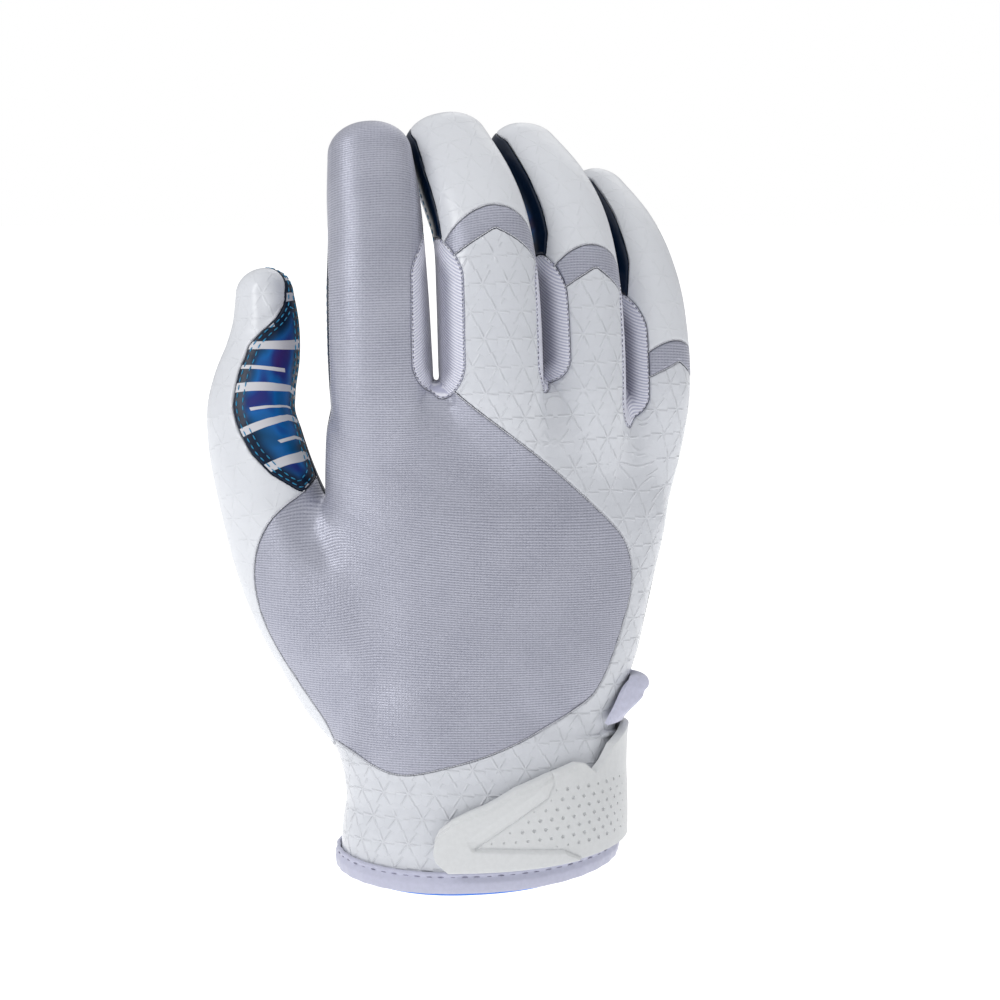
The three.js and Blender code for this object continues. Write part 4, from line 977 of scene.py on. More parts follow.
@dataclass
class Surface:
    """Triangles in millimetres. Each corner carries its point, its normal and the named measures."""

    names: tuple[str, ...]
    data: Grid
    faces: Grid

    @classmethod
    def of(cls, hand: Hand) -> "Surface":
        """The hand's whole skin with its measures."""
        points, faces = hand.skin()
        made = measures(hand, points)
        data = np.hstack([points, normals_of(points, faces), np.stack(list(made.values()), 1)])
        return cls(tuple(made), data, faces)

    @property
    def points(self) -> Grid:
        """The corners' places."""
        return self.data[:, :NORMAL_AT]

    @property
    def normals(self) -> Grid:
        """The corners' normals."""
        return unit(self.data[:, NORMAL_AT:MEASURES_AT])

    def get(self, name: str) -> Grid:
        """One measure at every corner."""
        return self.data[:, MEASURES_AT + self.names.index(name)]

    def between(self, values: Grid, edges: Grid) -> Grid:
        """Rows of data where values pass through zero on edges that they cross."""
        low, up = edges.T
        t = (values[low] / (values[low] - values[up]))[:, None]
        return self.data[low] * (1 - t) + self.data[up] * t

    def split(self, name: str, level: float) -> tuple["Surface", Grid]:
        """Cuts the triangles that a level line crosses.

        Args:
            name: the measure.
            level: its value on the line.

        Returns:
            The surface, and for each triangle whether it lies above the level.
        """
        d = self.get(name) - level
        high = d > 0
        count = high[self.faces].sum(1)
        whole = self.faces[(count == 0) | (count == 3)]
        cut = self.faces[(count == 1) | (count == 2)]
        lone = np.where(high[cut].sum(1) == 1, high[cut].T, ~high[cut].T).T.argmax(1)
        a, b, c = (cut[np.arange(len(cut)), (lone + k) % 3] for k in range(3))
        pairs = np.sort(np.vstack([np.stack([a, b], 1), np.stack([a, c], 1)]), axis=1)
        edges, place = np.unique(pairs, axis=0, return_inverse=True)
        place = place.reshape(-1)
        cuts = self.between(d, edges)
        p, q = place[: len(a)] + len(self.data), place[len(a) :] + len(self.data)
        tips, rest = np.stack([a, p, q], 1), np.vstack([np.stack([p, b, c], 1), np.stack([p, c, q], 1)])
        faces = np.vstack([whole, tips, rest])
        above = np.concatenate([high[whole].all(1), high[a], ~high[a], ~high[a]])
        return Surface(self.names, np.vstack([self.data, cuts]), faces), above

    def scored(self, name: str, level: float) -> "Surface":
        """The same surface with corners along a level line."""
        return self.split(name, level)[0]

    def kept(self, name: str, level: float, above: bool) -> "Surface":
        """The part on one side of a level line."""
        made, high = self.split(name, level)
        return Surface(made.names, made.data, made.faces[high == above])

    def compact(self, faces: Grid) -> "Surface":
        """The given triangles alone, without unused corners."""
        used, place = np.unique(faces, return_inverse=True)
        return Surface(self.names, self.data[used], place.reshape(-1, 3))

    def main_patch(self) -> "Surface":
        """The largest part that hangs together by edges."""
        near = edges_of(self.faces)
        label = np.arange(len(self.data))
        while True:
            low = np.minimum(label[near[:, 0]], label[near[:, 1]])
            new = label.copy()
            np.minimum.at(new, near[:, 0], low)
            np.minimum.at(new, near[:, 1], low)
            new = new[new]
            if (new == label).all():
                break
            label = new
        labels = label[self.faces[:, 0]]
        values, counts = np.unique(labels, return_counts=True)
        return self.compact(self.faces[labels == values[counts.argmax()]])

    def rim(self) -> Grid:
        """The edges with a triangle on one side only, in the direction of that triangle."""
        pairs = sides_of_faces(self.faces)
        _, first, count = np.unique(np.sort(pairs, axis=1), axis=0, return_index=True, return_counts=True)
        return pairs[first[count == 1]]

    def from_rim(self) -> Grid:
        """Distance of every corner from the nearest rim."""
        rim = self.rim()
        start, end = self.points[rim[:, 0]], self.points[rim[:, 1]]
        marks = np.vstack([start * (1 - t) + end * t for t in np.arange(RIM_MARKS) / RIM_MARKS])
        tree = KDTree(len(marks))
        for k, mark in enumerate(marks):
            tree.insert(mark, k)
        tree.balance()
        return np.array([tree.find(point)[2] for point in self.points])

    def line(self, name: str, level: float) -> list[Grid]:
        """Where a measure has a value, as chains of rows of point and normal, in order.

        Args:
            name: the measure.
            level: its value on the line.

        Returns:
            One grid for each chain.
        """
        d = self.get(name) - level
        high = d > 0
        ends, steps = {}, []
        for face in self.faces[(high[self.faces].sum(1) % 3) > 0]:
            sides = [(face[k], face[(k + 1) % 3]) for k in range(3)]
            keys = [tuple(sorted(map(int, side))) for side in sides if high[side[0]] != high[side[1]]]
            steps.append(keys)
            for key in keys:
                ends.setdefault(key, []).append(len(steps) - 1)
        chains, left = [], set(range(len(steps)))
        while left:
            start = next((s for s in sorted(left) if any(len(ends[k]) == 1 for k in steps[s])), min(left))
            key = next((k for k in steps[start] if len(ends[k]) == 1), steps[start][0])
            chain, here = [key], start
            while here is not None and here in left:
                left.remove(here)
                key = steps[here][1] if steps[here][0] == key else steps[here][0]
                chain.append(key)
                here = next((s for s in ends[key] if s != here and s in left), None)
            chains.append(self.between(d, np.array(chain))[:, :MEASURES_AT])
        return chains


# The panels in the order in which they are cut from the skin, each where its measure is positive
STRIPS = {"fourchette_" + "_".join(pair): "_".join(pair) for pair in WEBS}
CUTS = {
    **STRIPS,
    "thumb_wrap": "wrap",
    "palm_panel": "palm",
    "thumb_back": "thumb",
    "back_panel": "knit",
    **{name + "_tip_back": name + "_high" for name in BANDS},
    **{name + "_flex_band": name + "_low" for name in BANDS},
}
REST = "back_overlay"


def cut_panels(skin: Surface) -> dict[str, Surface]:
    """Cuts the skin into its panels, with a fine row of corners beside every cut.

    Args:
        skin: the whole outer surface.

    Returns:
        The surface of every panel under its name.
    """
    rest = skin.kept("hem", PIPING_DROP + BINDING_WALL + FIT_GAP, True)
    panels = {}
    for name, measure in CUTS.items():
        for level in (ROLL + SEAM_GAP / 2, -ROLL - SEAM_GAP / 2):
            rest = rest.scored(measure, level)
        panels[name] = rest.kept(measure, SEAM_GAP / 2, True).main_patch()
        rest = rest.kept(measure, -SEAM_GAP / 2, False)
    panels[REST] = rest.main_patch()
    return panels


def feed(tree: bpy.types.NodeTree, inlet: bpy.types.NodeSocket, value: object) -> None:
    """Gives an input what it reads: a link from a wire or a socket, or a plain value."""
    source = value.socket if isinstance(value, Wire) else value
    if isinstance(source, bpy.types.NodeSocket):
        tree.links.new(source, inlet)
    else:
        inlet.default_value = source


class Wire:
    """A value in a material's node tree, with arithmetic that adds the nodes."""

    def __init__(self, tree: bpy.types.NodeTree, socket: bpy.types.NodeSocket) -> None:
        """Notes the socket that gives the value."""
        self.tree = tree
        self.socket = socket

    def op(self, operation: str, *others: "Wire | float") -> "Wire":
        """The result of a Math node on this value and others.

        Args:
            operation: the node's operation.
            others: its further values.

        Returns:
            The result.
        """
        node = self.tree.nodes.new("ShaderNodeMath")
        node.operation = operation
        for k, value in enumerate((self, *others)):
            feed(self.tree, node.inputs[k], value)
        return Wire(self.tree, node.outputs[0])

    def __add__(self, other: "Wire | float") -> "Wire":
        """Sum."""
        return self.op("ADD", other)

    def __sub__(self, other: "Wire | float") -> "Wire":
        """Difference."""
        return self.op("SUBTRACT", other)

    def __mul__(self, other: "Wire | float") -> "Wire":
        """Product."""
        return self.op("MULTIPLY", other)

    def __truediv__(self, other: "Wire | float") -> "Wire":
        """Quotient."""
        return self.op("DIVIDE", other)

    def wave(self, period: float) -> "Wire":
        """Sine of this length with a period."""
        return (self * (2 * math.pi / period)).op("SINE")

    def step(self, low: float, high: float) -> "Wire":
        """Smooth step from 0 at low to 1 at high, or back where low is the larger.

        Args:
            low: where it is 0.
            high: where it is 1.

        Returns:
            The step's value.
        """
        node = self.tree.nodes.new("ShaderNodeMapRange")
        node.interpolation_type = "SMOOTHSTEP"
        rising = low < high
        node.inputs["From Min"].default_value = min(low, high)
        node.inputs["From Max"].default_value = max(low, high)
        node.inputs["To Min"].default_value = 0.0 if rising else 1.0
        node.inputs["To Max"].default_value = 1.0 if rising else 0.0
        self.tree.links.new(self.socket, node.inputs["Value"])
        return Wire(self.tree, node.outputs["Result"])


Colour = tuple[float, float, float]
Shade = Colour | bpy.types.NodeSocket


def opaque(value: Shade) -> "tuple[float, ...] | bpy.types.NodeSocket":
    """A colour with its alpha, or the socket that gives it."""
    return value if isinstance(value, bpy.types.NodeSocket) else (*value, 1.0)


class Paint:
    """A material under construction, with the values that its pattern reads."""

    def __init__(self, name: str) -> None:
        """Starts a material with one Principled surface."""
        self.material = bpy.data.materials.new(name)
        self.material.use_nodes = True
        self.tree = self.material.node_tree
        self.surface = self.tree.nodes["Principled BSDF"]

    def parts(self, vector: bpy.types.NodeSocket) -> tuple[Wire, Wire, Wire]:
        """The three parts of a vector."""
        node = self.tree.nodes.new("ShaderNodeSeparateXYZ")
        feed(self.tree, node.inputs[0], vector)
        return tuple(Wire(self.tree, outlet) for outlet in node.outputs)

    def flat(self) -> tuple[Wire, Wire, Wire]:
        """Place on the flat cloth, across and along, and the distance from the edge, all in millimetres."""
        source = self.tree.nodes.new("ShaderNodeAttribute")
        source.attribute_name = "flat"
        return self.parts(source.outputs["Vector"])

    def place(self) -> tuple[Wire, Wire, Wire]:
        """Place towards the little finger, the palm and the fingertips in millimetres."""
        source = self.tree.nodes.new("ShaderNodeTexCoord")
        return tuple(part / MM for part in self.parts(source.outputs["Object"]))

    def noise(self, size: float, detail: float = 2.0, distortion: float = 0.0) -> Wire:
        """Noise of a size in millimetres, from 0 to 1, fixed in space.

        Args:
            size: of its largest lumps.
            detail: how many finer layers it has.
            distortion: how far it is swirled.

        Returns:
            The noise.
        """
        place = self.tree.nodes.new("ShaderNodeTexCoord")
        node = self.tree.nodes.new("ShaderNodeTexNoise")
        node.inputs["Scale"].default_value = 1 / (size * MM)
        node.inputs["Detail"].default_value = detail
        node.inputs["Distortion"].default_value = distortion
        self.tree.links.new(place.outputs["Object"], node.inputs["Vector"])
        return Wire(self.tree, node.outputs["Fac"])

    def grain(self, *pairs: float) -> Wire:
        """Noises added up, each given as its size in millimetres and its weight."""
        made = [self.noise(size) * weight for size, weight in zip(pairs[::2], pairs[1::2])]
        total = made[0]
        for noise in made[1:]:
            total = total + noise
        return total

    def blend(self, share: Wire, low: Shade, high: Shade) -> bpy.types.NodeSocket:
        """A colour between two, by a share from 0 to 1.

        Args:
            share: how far it is from low to high.
            low: the colour at 0.
            high: the colour at 1.

        Returns:
            The colour's socket.
        """
        node = self.tree.nodes.new("ShaderNodeMix")
        node.data_type = "RGBA"
        feed(self.tree, node.inputs["Factor"], share)
        for name, value in (("A", low), ("B", high)):
            inlet = next(i for i in node.inputs if i.name == name and i.type == "RGBA")
            feed(self.tree, inlet, opaque(value))
        return next(o for o in node.outputs if o.type == "RGBA")

    def ramp(self, share: Wire, stops: tuple[tuple[float, Colour], ...]) -> bpy.types.NodeSocket:
        """A colour from a row of stops.

        Args:
            share: the place on the row.
            stops: each stop's place and colour.

        Returns:
            The colour's socket.
        """
        node = self.tree.nodes.new("ShaderNodeValToRGB")
        elements = node.color_ramp.elements
        while len(elements) < len(stops):
            elements.new(1.0)
        for element, (at, colour) in zip(elements, stops):
            element.position, element.color = at, opaque(colour)
        feed(self.tree, node.inputs["Fac"], share)
        return node.outputs["Color"]

    def colour(self, value: Shade) -> None:
        """Sets the surface's colour."""
        feed(self.tree, self.surface.inputs["Base Color"], opaque(value))

    def relief(self, height: Wire) -> None:
        """Raises the surface by a height in millimetres, in its shading alone."""
        node = self.tree.nodes.new("ShaderNodeBump")
        node.inputs["Distance"].default_value = 1.0
        feed(self.tree, node.inputs["Height"], height * MM)
        self.tree.links.new(node.outputs["Normal"], self.surface.inputs["Normal"])

    def gloss(
        self, roughness: float, coat: float = 0.0, sheen: float = 0.0, sheen_roughness: float = 0.5
    ) -> None:
        """Sets how the surface shines.

        Args:
            roughness: of the surface, and half of it for the coat.
            coat: weight of the clear coat.
            sheen: weight of the cloth's sheen.
            sheen_roughness: roughness of the sheen.
        """
        values = {
            "Roughness": roughness,
            "Coat Weight": coat,
            "Coat Roughness": roughness / 2,
            "Sheen Weight": sheen,
            "Sheen Roughness": sheen_roughness,
        }
        for name, value in values.items():
            self.surface.inputs[name].default_value = value


@dataclass(frozen=True)
class SatinKnit:
    """Silver knit with fine ribs across the hand and a satin shine."""

    name: str = "silver_knit"
    low: Colour = (0.21, 0.22, 0.29)
    high: Colour = (0.49, 0.5, 0.585)
    seam: Colour = (0.3, 0.31, 0.38)
    rib: float = 0.68
    course: float = 0.9
    seam_to: tuple[float, float] = (0.15, 0.7)
    tones: tuple[float, float] = (-0.3, 1.5)
    rib_share: float = 0.4
    loop_share: float = 0.12
    fuzz: tuple[float, float] = (0.45, 1.1)
    clouds: tuple[float, float] = (14.0, 0.5)
    depth: float = 0.06
    roughness: float = 0.36
    sheen: float = 0.25
    sheen_roughness: float = 0.3
    metal: float = 0.35

    def make(self) -> bpy.types.Material:
        """The material."""
        paint = Paint(self.name)
        _, along, edge = paint.flat()
        side, _, _ = paint.place()
        ribs = along.wave(self.rib)
        loops = (side + ribs * (self.rib / 4)).wave(self.course)
        yarn = ribs * self.rib_share + loops * self.loop_share + paint.grain(*self.fuzz, *self.clouds)
        cloth = paint.blend(yarn.step(*self.tones), self.low, self.high)
        paint.colour(paint.blend(edge.step(*self.seam_to), self.seam, cloth))
        paint.relief(yarn * self.depth)
        paint.gloss(self.roughness, sheen=self.sheen, sheen_roughness=self.sheen_roughness)
        paint.surface.inputs["Metallic"].default_value = self.metal
        return paint.material


@dataclass(frozen=True)
class RibbedKnit:
    """Pale knit with slanted ribs, for the strips between the fingers, with painted shade far from their
    edges, deep in the gaps.
    """

    name: str = "ribbed_knit"
    low: Colour = (0.42, 0.43, 0.58)
    high: Colour = (0.8, 0.81, 0.9)
    # Painted shade: darker copies of the knit's two tones, blended in far from the strip's edge.
    painted_shade_low: Colour = (0.16, 0.165, 0.25)
    painted_shade_high: Colour = (0.4, 0.405, 0.5)
    painted_shade_at: tuple[float, float] = (2.2, 6.2)
    rib: float = 0.62
    slant: float = 0.62
    rib_share: float = 0.5
    fuzz: tuple[float, float] = (0.4, 0.3)
    tones: tuple[float, float] = (-0.6, 0.6)
    depth: float = 0.12
    roughness: float = 0.55
    sheen: float = 0.4

    def make(self) -> bpy.types.Material:
        """The material."""
        paint = Paint(self.name)
        _, _, edge = paint.flat()
        _, deep, up = paint.place()
        ribs = (up * math.cos(self.slant) - deep * math.sin(self.slant)).wave(self.rib)
        yarn = ribs * self.rib_share + paint.grain(*self.fuzz)
        outer = paint.blend(yarn.step(*self.tones), self.low, self.high)
        # Painted shade: the knit's tones darkened far from the strip's edge, where the gap between the
        # fingers lies in shadow.
        inner = paint.blend(yarn.step(*self.tones), self.painted_shade_low, self.painted_shade_high)
        paint.colour(paint.blend(edge.step(*self.painted_shade_at), outer, inner))
        paint.relief(yarn * self.depth)
        paint.gloss(self.roughness, sheen=self.sheen)
        return paint.material


@dataclass(frozen=True)
class EmbossedFilm:
    """White glossy film on cloth, pressed with small stars of thin creases in staggered rows."""

    name: str = "embossed_film"
    tint: Colour = (0.63, 0.65, 0.7)
    pitch: float = 7.2
    row: float = 6.9
    reach: float = 7.0
    arms: int = 6
    lean: float = 0.08
    arm: float = 0.46
    ridge: float = 0.17
    facet: float = 0.2
    full_to: float = 0.3
    hub: float = 1.2
    wear: float = 0.6
    wear_at: tuple[float, float] = (0.3, 0.5)
    dents: tuple[float, float] = (11.0, 0.45)
    crepe: tuple[float, float] = (2.4, 0.02)
    roughness: float = 0.27
    coat: float = 0.3

    def stars(self, across: Wire, along: Wire) -> tuple[Wire, Wire]:
        """One of the two grids of stars: the relief in millimetres, and the distance from the star.

        Args:
            across: place across the cloth.
            along: place along the cloth.

        Returns:
            The relief and the distance.
        """
        columns, rows = across / self.pitch, along / (2 * self.row)
        dx = (columns - columns.op("ROUND")) * self.pitch
        dy = (rows - rows.op("ROUND")) * (2 * self.row)
        far = (dx * dx + dy * dy).op("SQRT")
        turn = dy.op("ARCTAN2", dx) + (self.lean + 2 * math.pi)
        sector = (turn * (self.arms / (2 * math.pi))).op("FRACT")
        off = sector.op("MINIMUM", sector * -1.0 + 1.0) * far * (2 * math.pi / self.arms)
        fade = far.step(self.reach, self.reach * self.full_to)
        facet = sector * far.step(self.reach, 0.0) * far.step(0.0, self.hub)
        return off.step(self.arm, 0.0) * fade * self.ridge + facet * self.facet, far

    def make(self) -> bpy.types.Material:
        """The material."""
        paint = Paint(self.name)
        across, along, _ = paint.flat()
        first, near = self.stars(across, along)
        second, other = self.stars(across + self.pitch / 2, along + self.row)
        nearer = near.op("LESS_THAN", other)
        pressed = first * nearer + second * (nearer * -1.0 + 1.0)
        paint.colour(self.tint)
        wear = paint.noise(self.pitch * self.wear).step(*self.wear_at)
        paint.relief(pressed * wear + paint.grain(*self.dents, *self.crepe))
        paint.gloss(self.roughness, coat=self.coat)
        return paint.material


class Layout(Enum):
    """How a print lies on its panel."""

    WRAPPED = "along the flat cloth"
    STRAIGHT = "straight through the hand from back to palm"


@dataclass(frozen=True)
class PrintedGrip:
    """Tacky leather printed in navy, blue and purple, with white chevron bars."""

    name: str = "printed_grip"
    layout: Layout = Layout.WRAPPED
    stops: tuple[tuple[float, Colour], ...] = (
        (0.36, (0.002, 0.012, 0.035)),
        (0.46, (0.002, 0.05, 0.13)),
        (0.55, (0.003, 0.09, 0.27)),
        (0.6, (0.005, 0.12, 0.4)),
        (0.66, (0.014, 0.03, 0.2)),
        (0.74, (0.055, 0.012, 0.1)),
        (0.86, (0.03, 0.006, 0.03)),
    )
    border: Colour = (0.001, 0.009, 0.03)
    border_to: tuple[float, float] = (2.0, 6.0)
    bar_from: float = 0.3
    bar_fade: float = 0.2
    cloud: float = 24.0
    swirl: float = 0.8
    shift: float = 0.017
    shift_to: float = 12.0
    bar: Colour = (0.62, 0.62, 0.66)
    pitch: float = 12.6
    wide: float = 2.4
    wide_at: float = 1.0
    narrow: float = 1.0
    narrow_at: float = 7.4
    gap_every: float = 23.0
    gap_slant: float = 0.5
    gap_ends: tuple[float, float] = (0.42, 0.43)
    slant: float = 0.2
    edge: float = 0.12
    pores: tuple[float, float] = (0.35, 0.006)
    dents: tuple[float, float] = (7.0, 0.3)
    roughness: float = 0.32
    shine: float = 0.3

    def bar_at(self, place: Wire, start: float, width: float) -> Wire:
        """A bar between two places, with its edges softened.

        Args:
            place: the place on the repeat.
            start: where the bar starts.
            width: its width.

        Returns:
            1 on the bar and 0 off it.
        """
        end = start + width
        return place.step(start - self.edge, start) * place.step(end + self.edge, end)

    def make(self) -> bpy.types.Material:
        """The material."""
        paint = Paint(self.name)
        across, along, edge = paint.flat()
        if self.layout is Layout.STRAIGHT:
            across, _, along = paint.place()
        cloud = paint.noise(self.cloud, distortion=self.swirl)
        cloud = cloud + edge.op("MINIMUM", self.shift_to) * self.shift
        colour = paint.blend(edge.step(*self.border_to), self.border, paint.ramp(cloud, self.stops))
        slanted = along + across.op("ABSOLUTE") * self.slant
        place = (slanted / self.pitch).op("FRACT") * self.pitch
        broad = self.bar_at(place, self.wide_at, self.wide)
        thin = self.bar_at(place, self.narrow_at, self.narrow)
        gap = ((across + slanted * self.gap_slant) / self.gap_every).op("FRACT").step(*self.gap_ends)
        inside = edge.step(self.bar_from, self.bar_from + self.bar_fade)
        bars = (broad + thin * gap).op("MINIMUM", 1.0) * inside
        paint.colour(paint.blend(bars, colour, self.bar))
        pores = paint.noise(self.pores[0], detail=1.0) * self.pores[1]
        paint.relief(pores + paint.grain(*self.dents))
        paint.gloss(self.roughness)
        paint.surface.inputs["Specular IOR Level"].default_value = self.shine
        return paint.material


@dataclass(frozen=True)
class PlainFinish:
    """One colour, lightly mottled, with a fine grain."""

    name: str
    tint: Colour
    roughness: float
    grain: float = 0.3
    depth: float = 0.02
    sheen: float = 0.0
    mottle: float = 0.06
    mottle_size: float = 4.0
    mottle_at: tuple[float, float] = (0.3, 0.7)

    def make(self) -> bpy.types.Material:
        """The material."""
        paint = Paint(self.name)
        dark = tuple(value * (1 - 2 * self.mottle) for value in self.tint)
        spots = paint.noise(self.grain * self.mottle_size).step(*self.mottle_at)
        paint.colour(paint.blend(spots, dark, self.tint))
        paint.relief(paint.noise(self.grain) * self.depth)
        paint.gloss(self.roughness, sheen=self.sheen)
        return paint.material


def add_piece(
    name: str,
    points: Grid,
    faces: Grid,
    material: bpy.types.Material,
    flat: "Grid | None" = None,
    sharp: float = 48.0,
) -> bpy.types.Object:
    """Makes a mesh object from millimetres.

    Args:
        name: the piece's name.
        points: its corners.
        faces: its triangles or quads.
        material: its finish.
        flat: place on the flat cloth and distance from the edge of each corner, in millimetres.
        sharp: angle in degrees past which an edge isn't shaded smooth.

    Returns:
        The object, at the origin.
    """
    mesh = bpy.data.meshes.new(name)
    mesh.from_pydata((points * MM).tolist(), [], faces.tolist())
    if flat is not None:
        mesh.attributes.new("flat", "FLOAT_VECTOR", "POINT").data.foreach_set("vector", flat.ravel())
    mesh.materials.append(material)
    mesh.shade_smooth()
    mesh.set_sharp_from_angle(angle=math.radians(sharp))
    return set_out(name, mesh)


class Repeater:
    """A geometry node tree that sets one small round shape over and over, with named sizes in millimetres."""

    def __init__(self, name: str, sizes: tuple[str, ...] = ()) -> None:
        """Starts the tree.

        Args:
            name: the tree's name.
            sizes: the names of the sizes that it takes.
        """
        self.tree = bpy.data.node_groups.new(name, "GeometryNodeTree")
        face = self.tree.interface
        face.new_socket("Geometry", in_out="INPUT", socket_type="NodeSocketGeometry")
        self.keys = {}
        for size in sizes:
            self.keys[size] = face.new_socket(size, in_out="INPUT", socket_type="NodeSocketFloat").identifier
        face.new_socket("Geometry", in_out="OUTPUT", socket_type="NodeSocketGeometry")
        self.given = self.tree.nodes.new("NodeGroupInput").outputs
        self.end = self.tree.nodes.new("NodeGroupOutput")

    def node(self, kind: str, settings: "dict[str, str] | None" = None, **inputs: object) -> bpy.types.Node:
        """A node with its settings, whose inputs are values or the sockets of other nodes.

        Args:
            kind: the node's type.
            settings: its properties.
            inputs: what its inputs read.

        Returns:
            The node.
        """
        made = self.tree.nodes.new(kind)
        for name, value in (settings or {}).items():
            setattr(made, name, value)
        for name, value in inputs.items():
            feed(self.tree, made.inputs[name], value)
        return made

    def close(self, shapes: bpy.types.NodeSocket, material: bpy.types.Material) -> None:
        """Ends the tree: the repeated shapes are made real and given their finish."""
        real = self.node("GeometryNodeRealizeInstances", Geometry=shapes)
        dressed = self.node("GeometryNodeSetMaterial", Geometry=real.outputs[0], Material=material)
        self.tree.links.new(dressed.outputs[0], self.end.inputs[0])

    def run(
        self, points: Grid, edges: Grid, sizes: dict[str, float], widths: "Grid | None" = None
    ) -> bpy.types.Object:
        """Runs the tree and turns its result into a plain mesh.

        Args:
            points: where it repeats, in millimetres.
            edges: which points a path joins.
            sizes: a value for every named size.
            widths: width of the shape at each point, where it differs.

        Returns:
            An object with the result.
        """
        source = bpy.data.meshes.new(self.tree.name)
        source.from_pydata((points * MM).tolist(), edges.tolist(), [])
        if widths is not None:
            source.attributes.new("width", "FLOAT", "POINT").data.foreach_set("value", widths * MM)
        holder = set_out(self.tree.name, source)
        modifier = holder.modifiers.new("repeat", "NODES")
        modifier.node_group = self.tree
        for name, value in sizes.items():
            modifier[self.keys[name]] = value * MM
        settle(holder, modifier)
        holder.data.shade_smooth()
        return holder


def paths_of(chains: list[Grid], lift: float, shortest: float = 4.0) -> tuple[Grid, Grid]:
    """Points and edges of lines on the cloth, lifted off it.

    Args:
        chains: rows of point and normal for each line.
        lift: distance outside the skin.
        shortest: length under which a line is left out.

    Returns:
        The points, and the pairs of them that are joined.
    """
    points, edges, count = [], [], 0
    for chain in chains:
        line = chain[:, :3] + unit(chain[:, 3:]) * lift
        if np.linalg.norm(np.diff(line, axis=0), axis=1).sum() < shortest:
            continue
        start = np.arange(len(line) - 1) + count
        points.append(line)
        edges.append(np.stack([start, start + 1], 1))
        count += len(line)
    return np.vstack(points), np.vstack(edges)


BEAD = {"Segments": 6, "Rings": 5, "Radius": 0.5}
PIT = {"Subdivisions": 2, "Radius": 0.5}


@dataclass(frozen=True)
class Stitching:
    """Stitches of one thread, laid at a pitch along lines on the cloth."""

    name: str
    slot: str
    pitch: float
    length: float
    thick: float
    lift: float

    def tree(self, thread: bpy.types.Material) -> Repeater:
        """The node tree: an even row of long beads that point along the line.

        Args:
            thread: finish of the thread.

        Returns:
            The tree, ready to run.
        """
        made = Repeater(self.name, ("Pitch", "Length", "Thickness"))
        line = made.node("GeometryNodeMeshToCurve", Mesh=made.given["Geometry"])
        pitch = made.given["Pitch"]
        even = made.node("GeometryNodeResampleCurve", {"mode": "LENGTH"}, Curve=line.outputs[0], Length=pitch)
        tangent = made.node("GeometryNodeInputTangent")
        turn = made.node("FunctionNodeAlignRotationToVector", {"axis": "X"}, Vector=tangent.outputs[0])
        long, thick = made.given["Length"], made.given["Thickness"]
        size = made.node("ShaderNodeCombineXYZ", X=long, Y=thick, Z=thick)
        bead = made.node("GeometryNodeMeshUVSphere", **BEAD)
        row = made.node("GeometryNodeInstanceOnPoints", Points=even.outputs[0], Instance=bead.outputs[0])
        made.tree.links.new(turn.outputs[0], row.inputs["Rotation"])
        made.tree.links.new(size.outputs[0], row.inputs["Scale"])
        made.close(row.outputs[0], thread)
        return made

    def build(self, chains: list[Grid], thread: bpy.types.Material) -> bpy.types.Object:
        """Sews the lines.

        Args:
            chains: rows of point and normal for each line.
            thread: finish of the thread.

        Returns:
            The piece.
        """
        points, edges = paths_of(chains, self.lift)
        sizes = {"Pitch": self.pitch, "Length": self.length, "Thickness": self.thick}
        made = self.tree(thread).run(points, edges, sizes)
        made.name = self.name
        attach(made, "root")
        return made


def area_of(points: Grid, faces: Grid) -> float:
    """Area of triangles."""
    a, b, c = (points[faces[:, k]] for k in range(3))
    return float(np.linalg.norm(np.cross(b - a, c - a), axis=1).sum() / 2)


# Creases and dimples in the cloth in the front view: from one point to another, how wide and how deep
CREASES = Table(
    ("x0", "z0", "x1", "z1", "wide", "deep"),
    (
        (26.0, 50.0, 34.0, 41.0, 2.6, 0.55),
        (31.0, 44.0, 35.0, 38.0, 3.4, -0.35),
        (12.0, 50.0, 31.0, 36.0, 4.0, 0.35),
        (-61.0, 158.0, -56.5, 161.0, 1.3, 0.45),
        (-63.3, 165.0, -62.3, 156.0, 1.6, 0.3),
        (-66.0, 154.0, -60.0, 155.0, 1.6, 0.25),
        (-58.0, 108.0, -50.0, 100.0, 3.0, 0.5),
        (-44.0, 92.0, -52.0, 108.0, 3.2, 0.6),
        (-40.0, 60.0, -36.0, 40.0, 4.0, 0.5),
    ),
)


CREASES_FADE = (0.1, 0.6)  # how far the cloth has to face the viewer for the creases to start and to be full


def creased(points: Grid, normals: Grid) -> Grid:
    """How far every point sinks into the creases on the back of the hand.

    Args:
        points: the cloth's corners.
        normals: their normals.

    Returns:
        One depth per point.
    """
    sunk = np.zeros(len(points))
    for x0, z0, x1, z1, wide, deep in CREASES.rows:
        start, step = np.array([x0, z0]), np.array([x1 - x0, z1 - z0])
        place = points[:, [0, 2]] - start
        f = np.clip(place @ step / (step @ step), 0, 1)
        far = np.linalg.norm(place - f[:, None] * step, axis=1)
        sunk += deep * np.exp(-((far / wide) ** 2)) * smoothstep(*CREASES_FADE, -normals[:, 1])
    return sunk


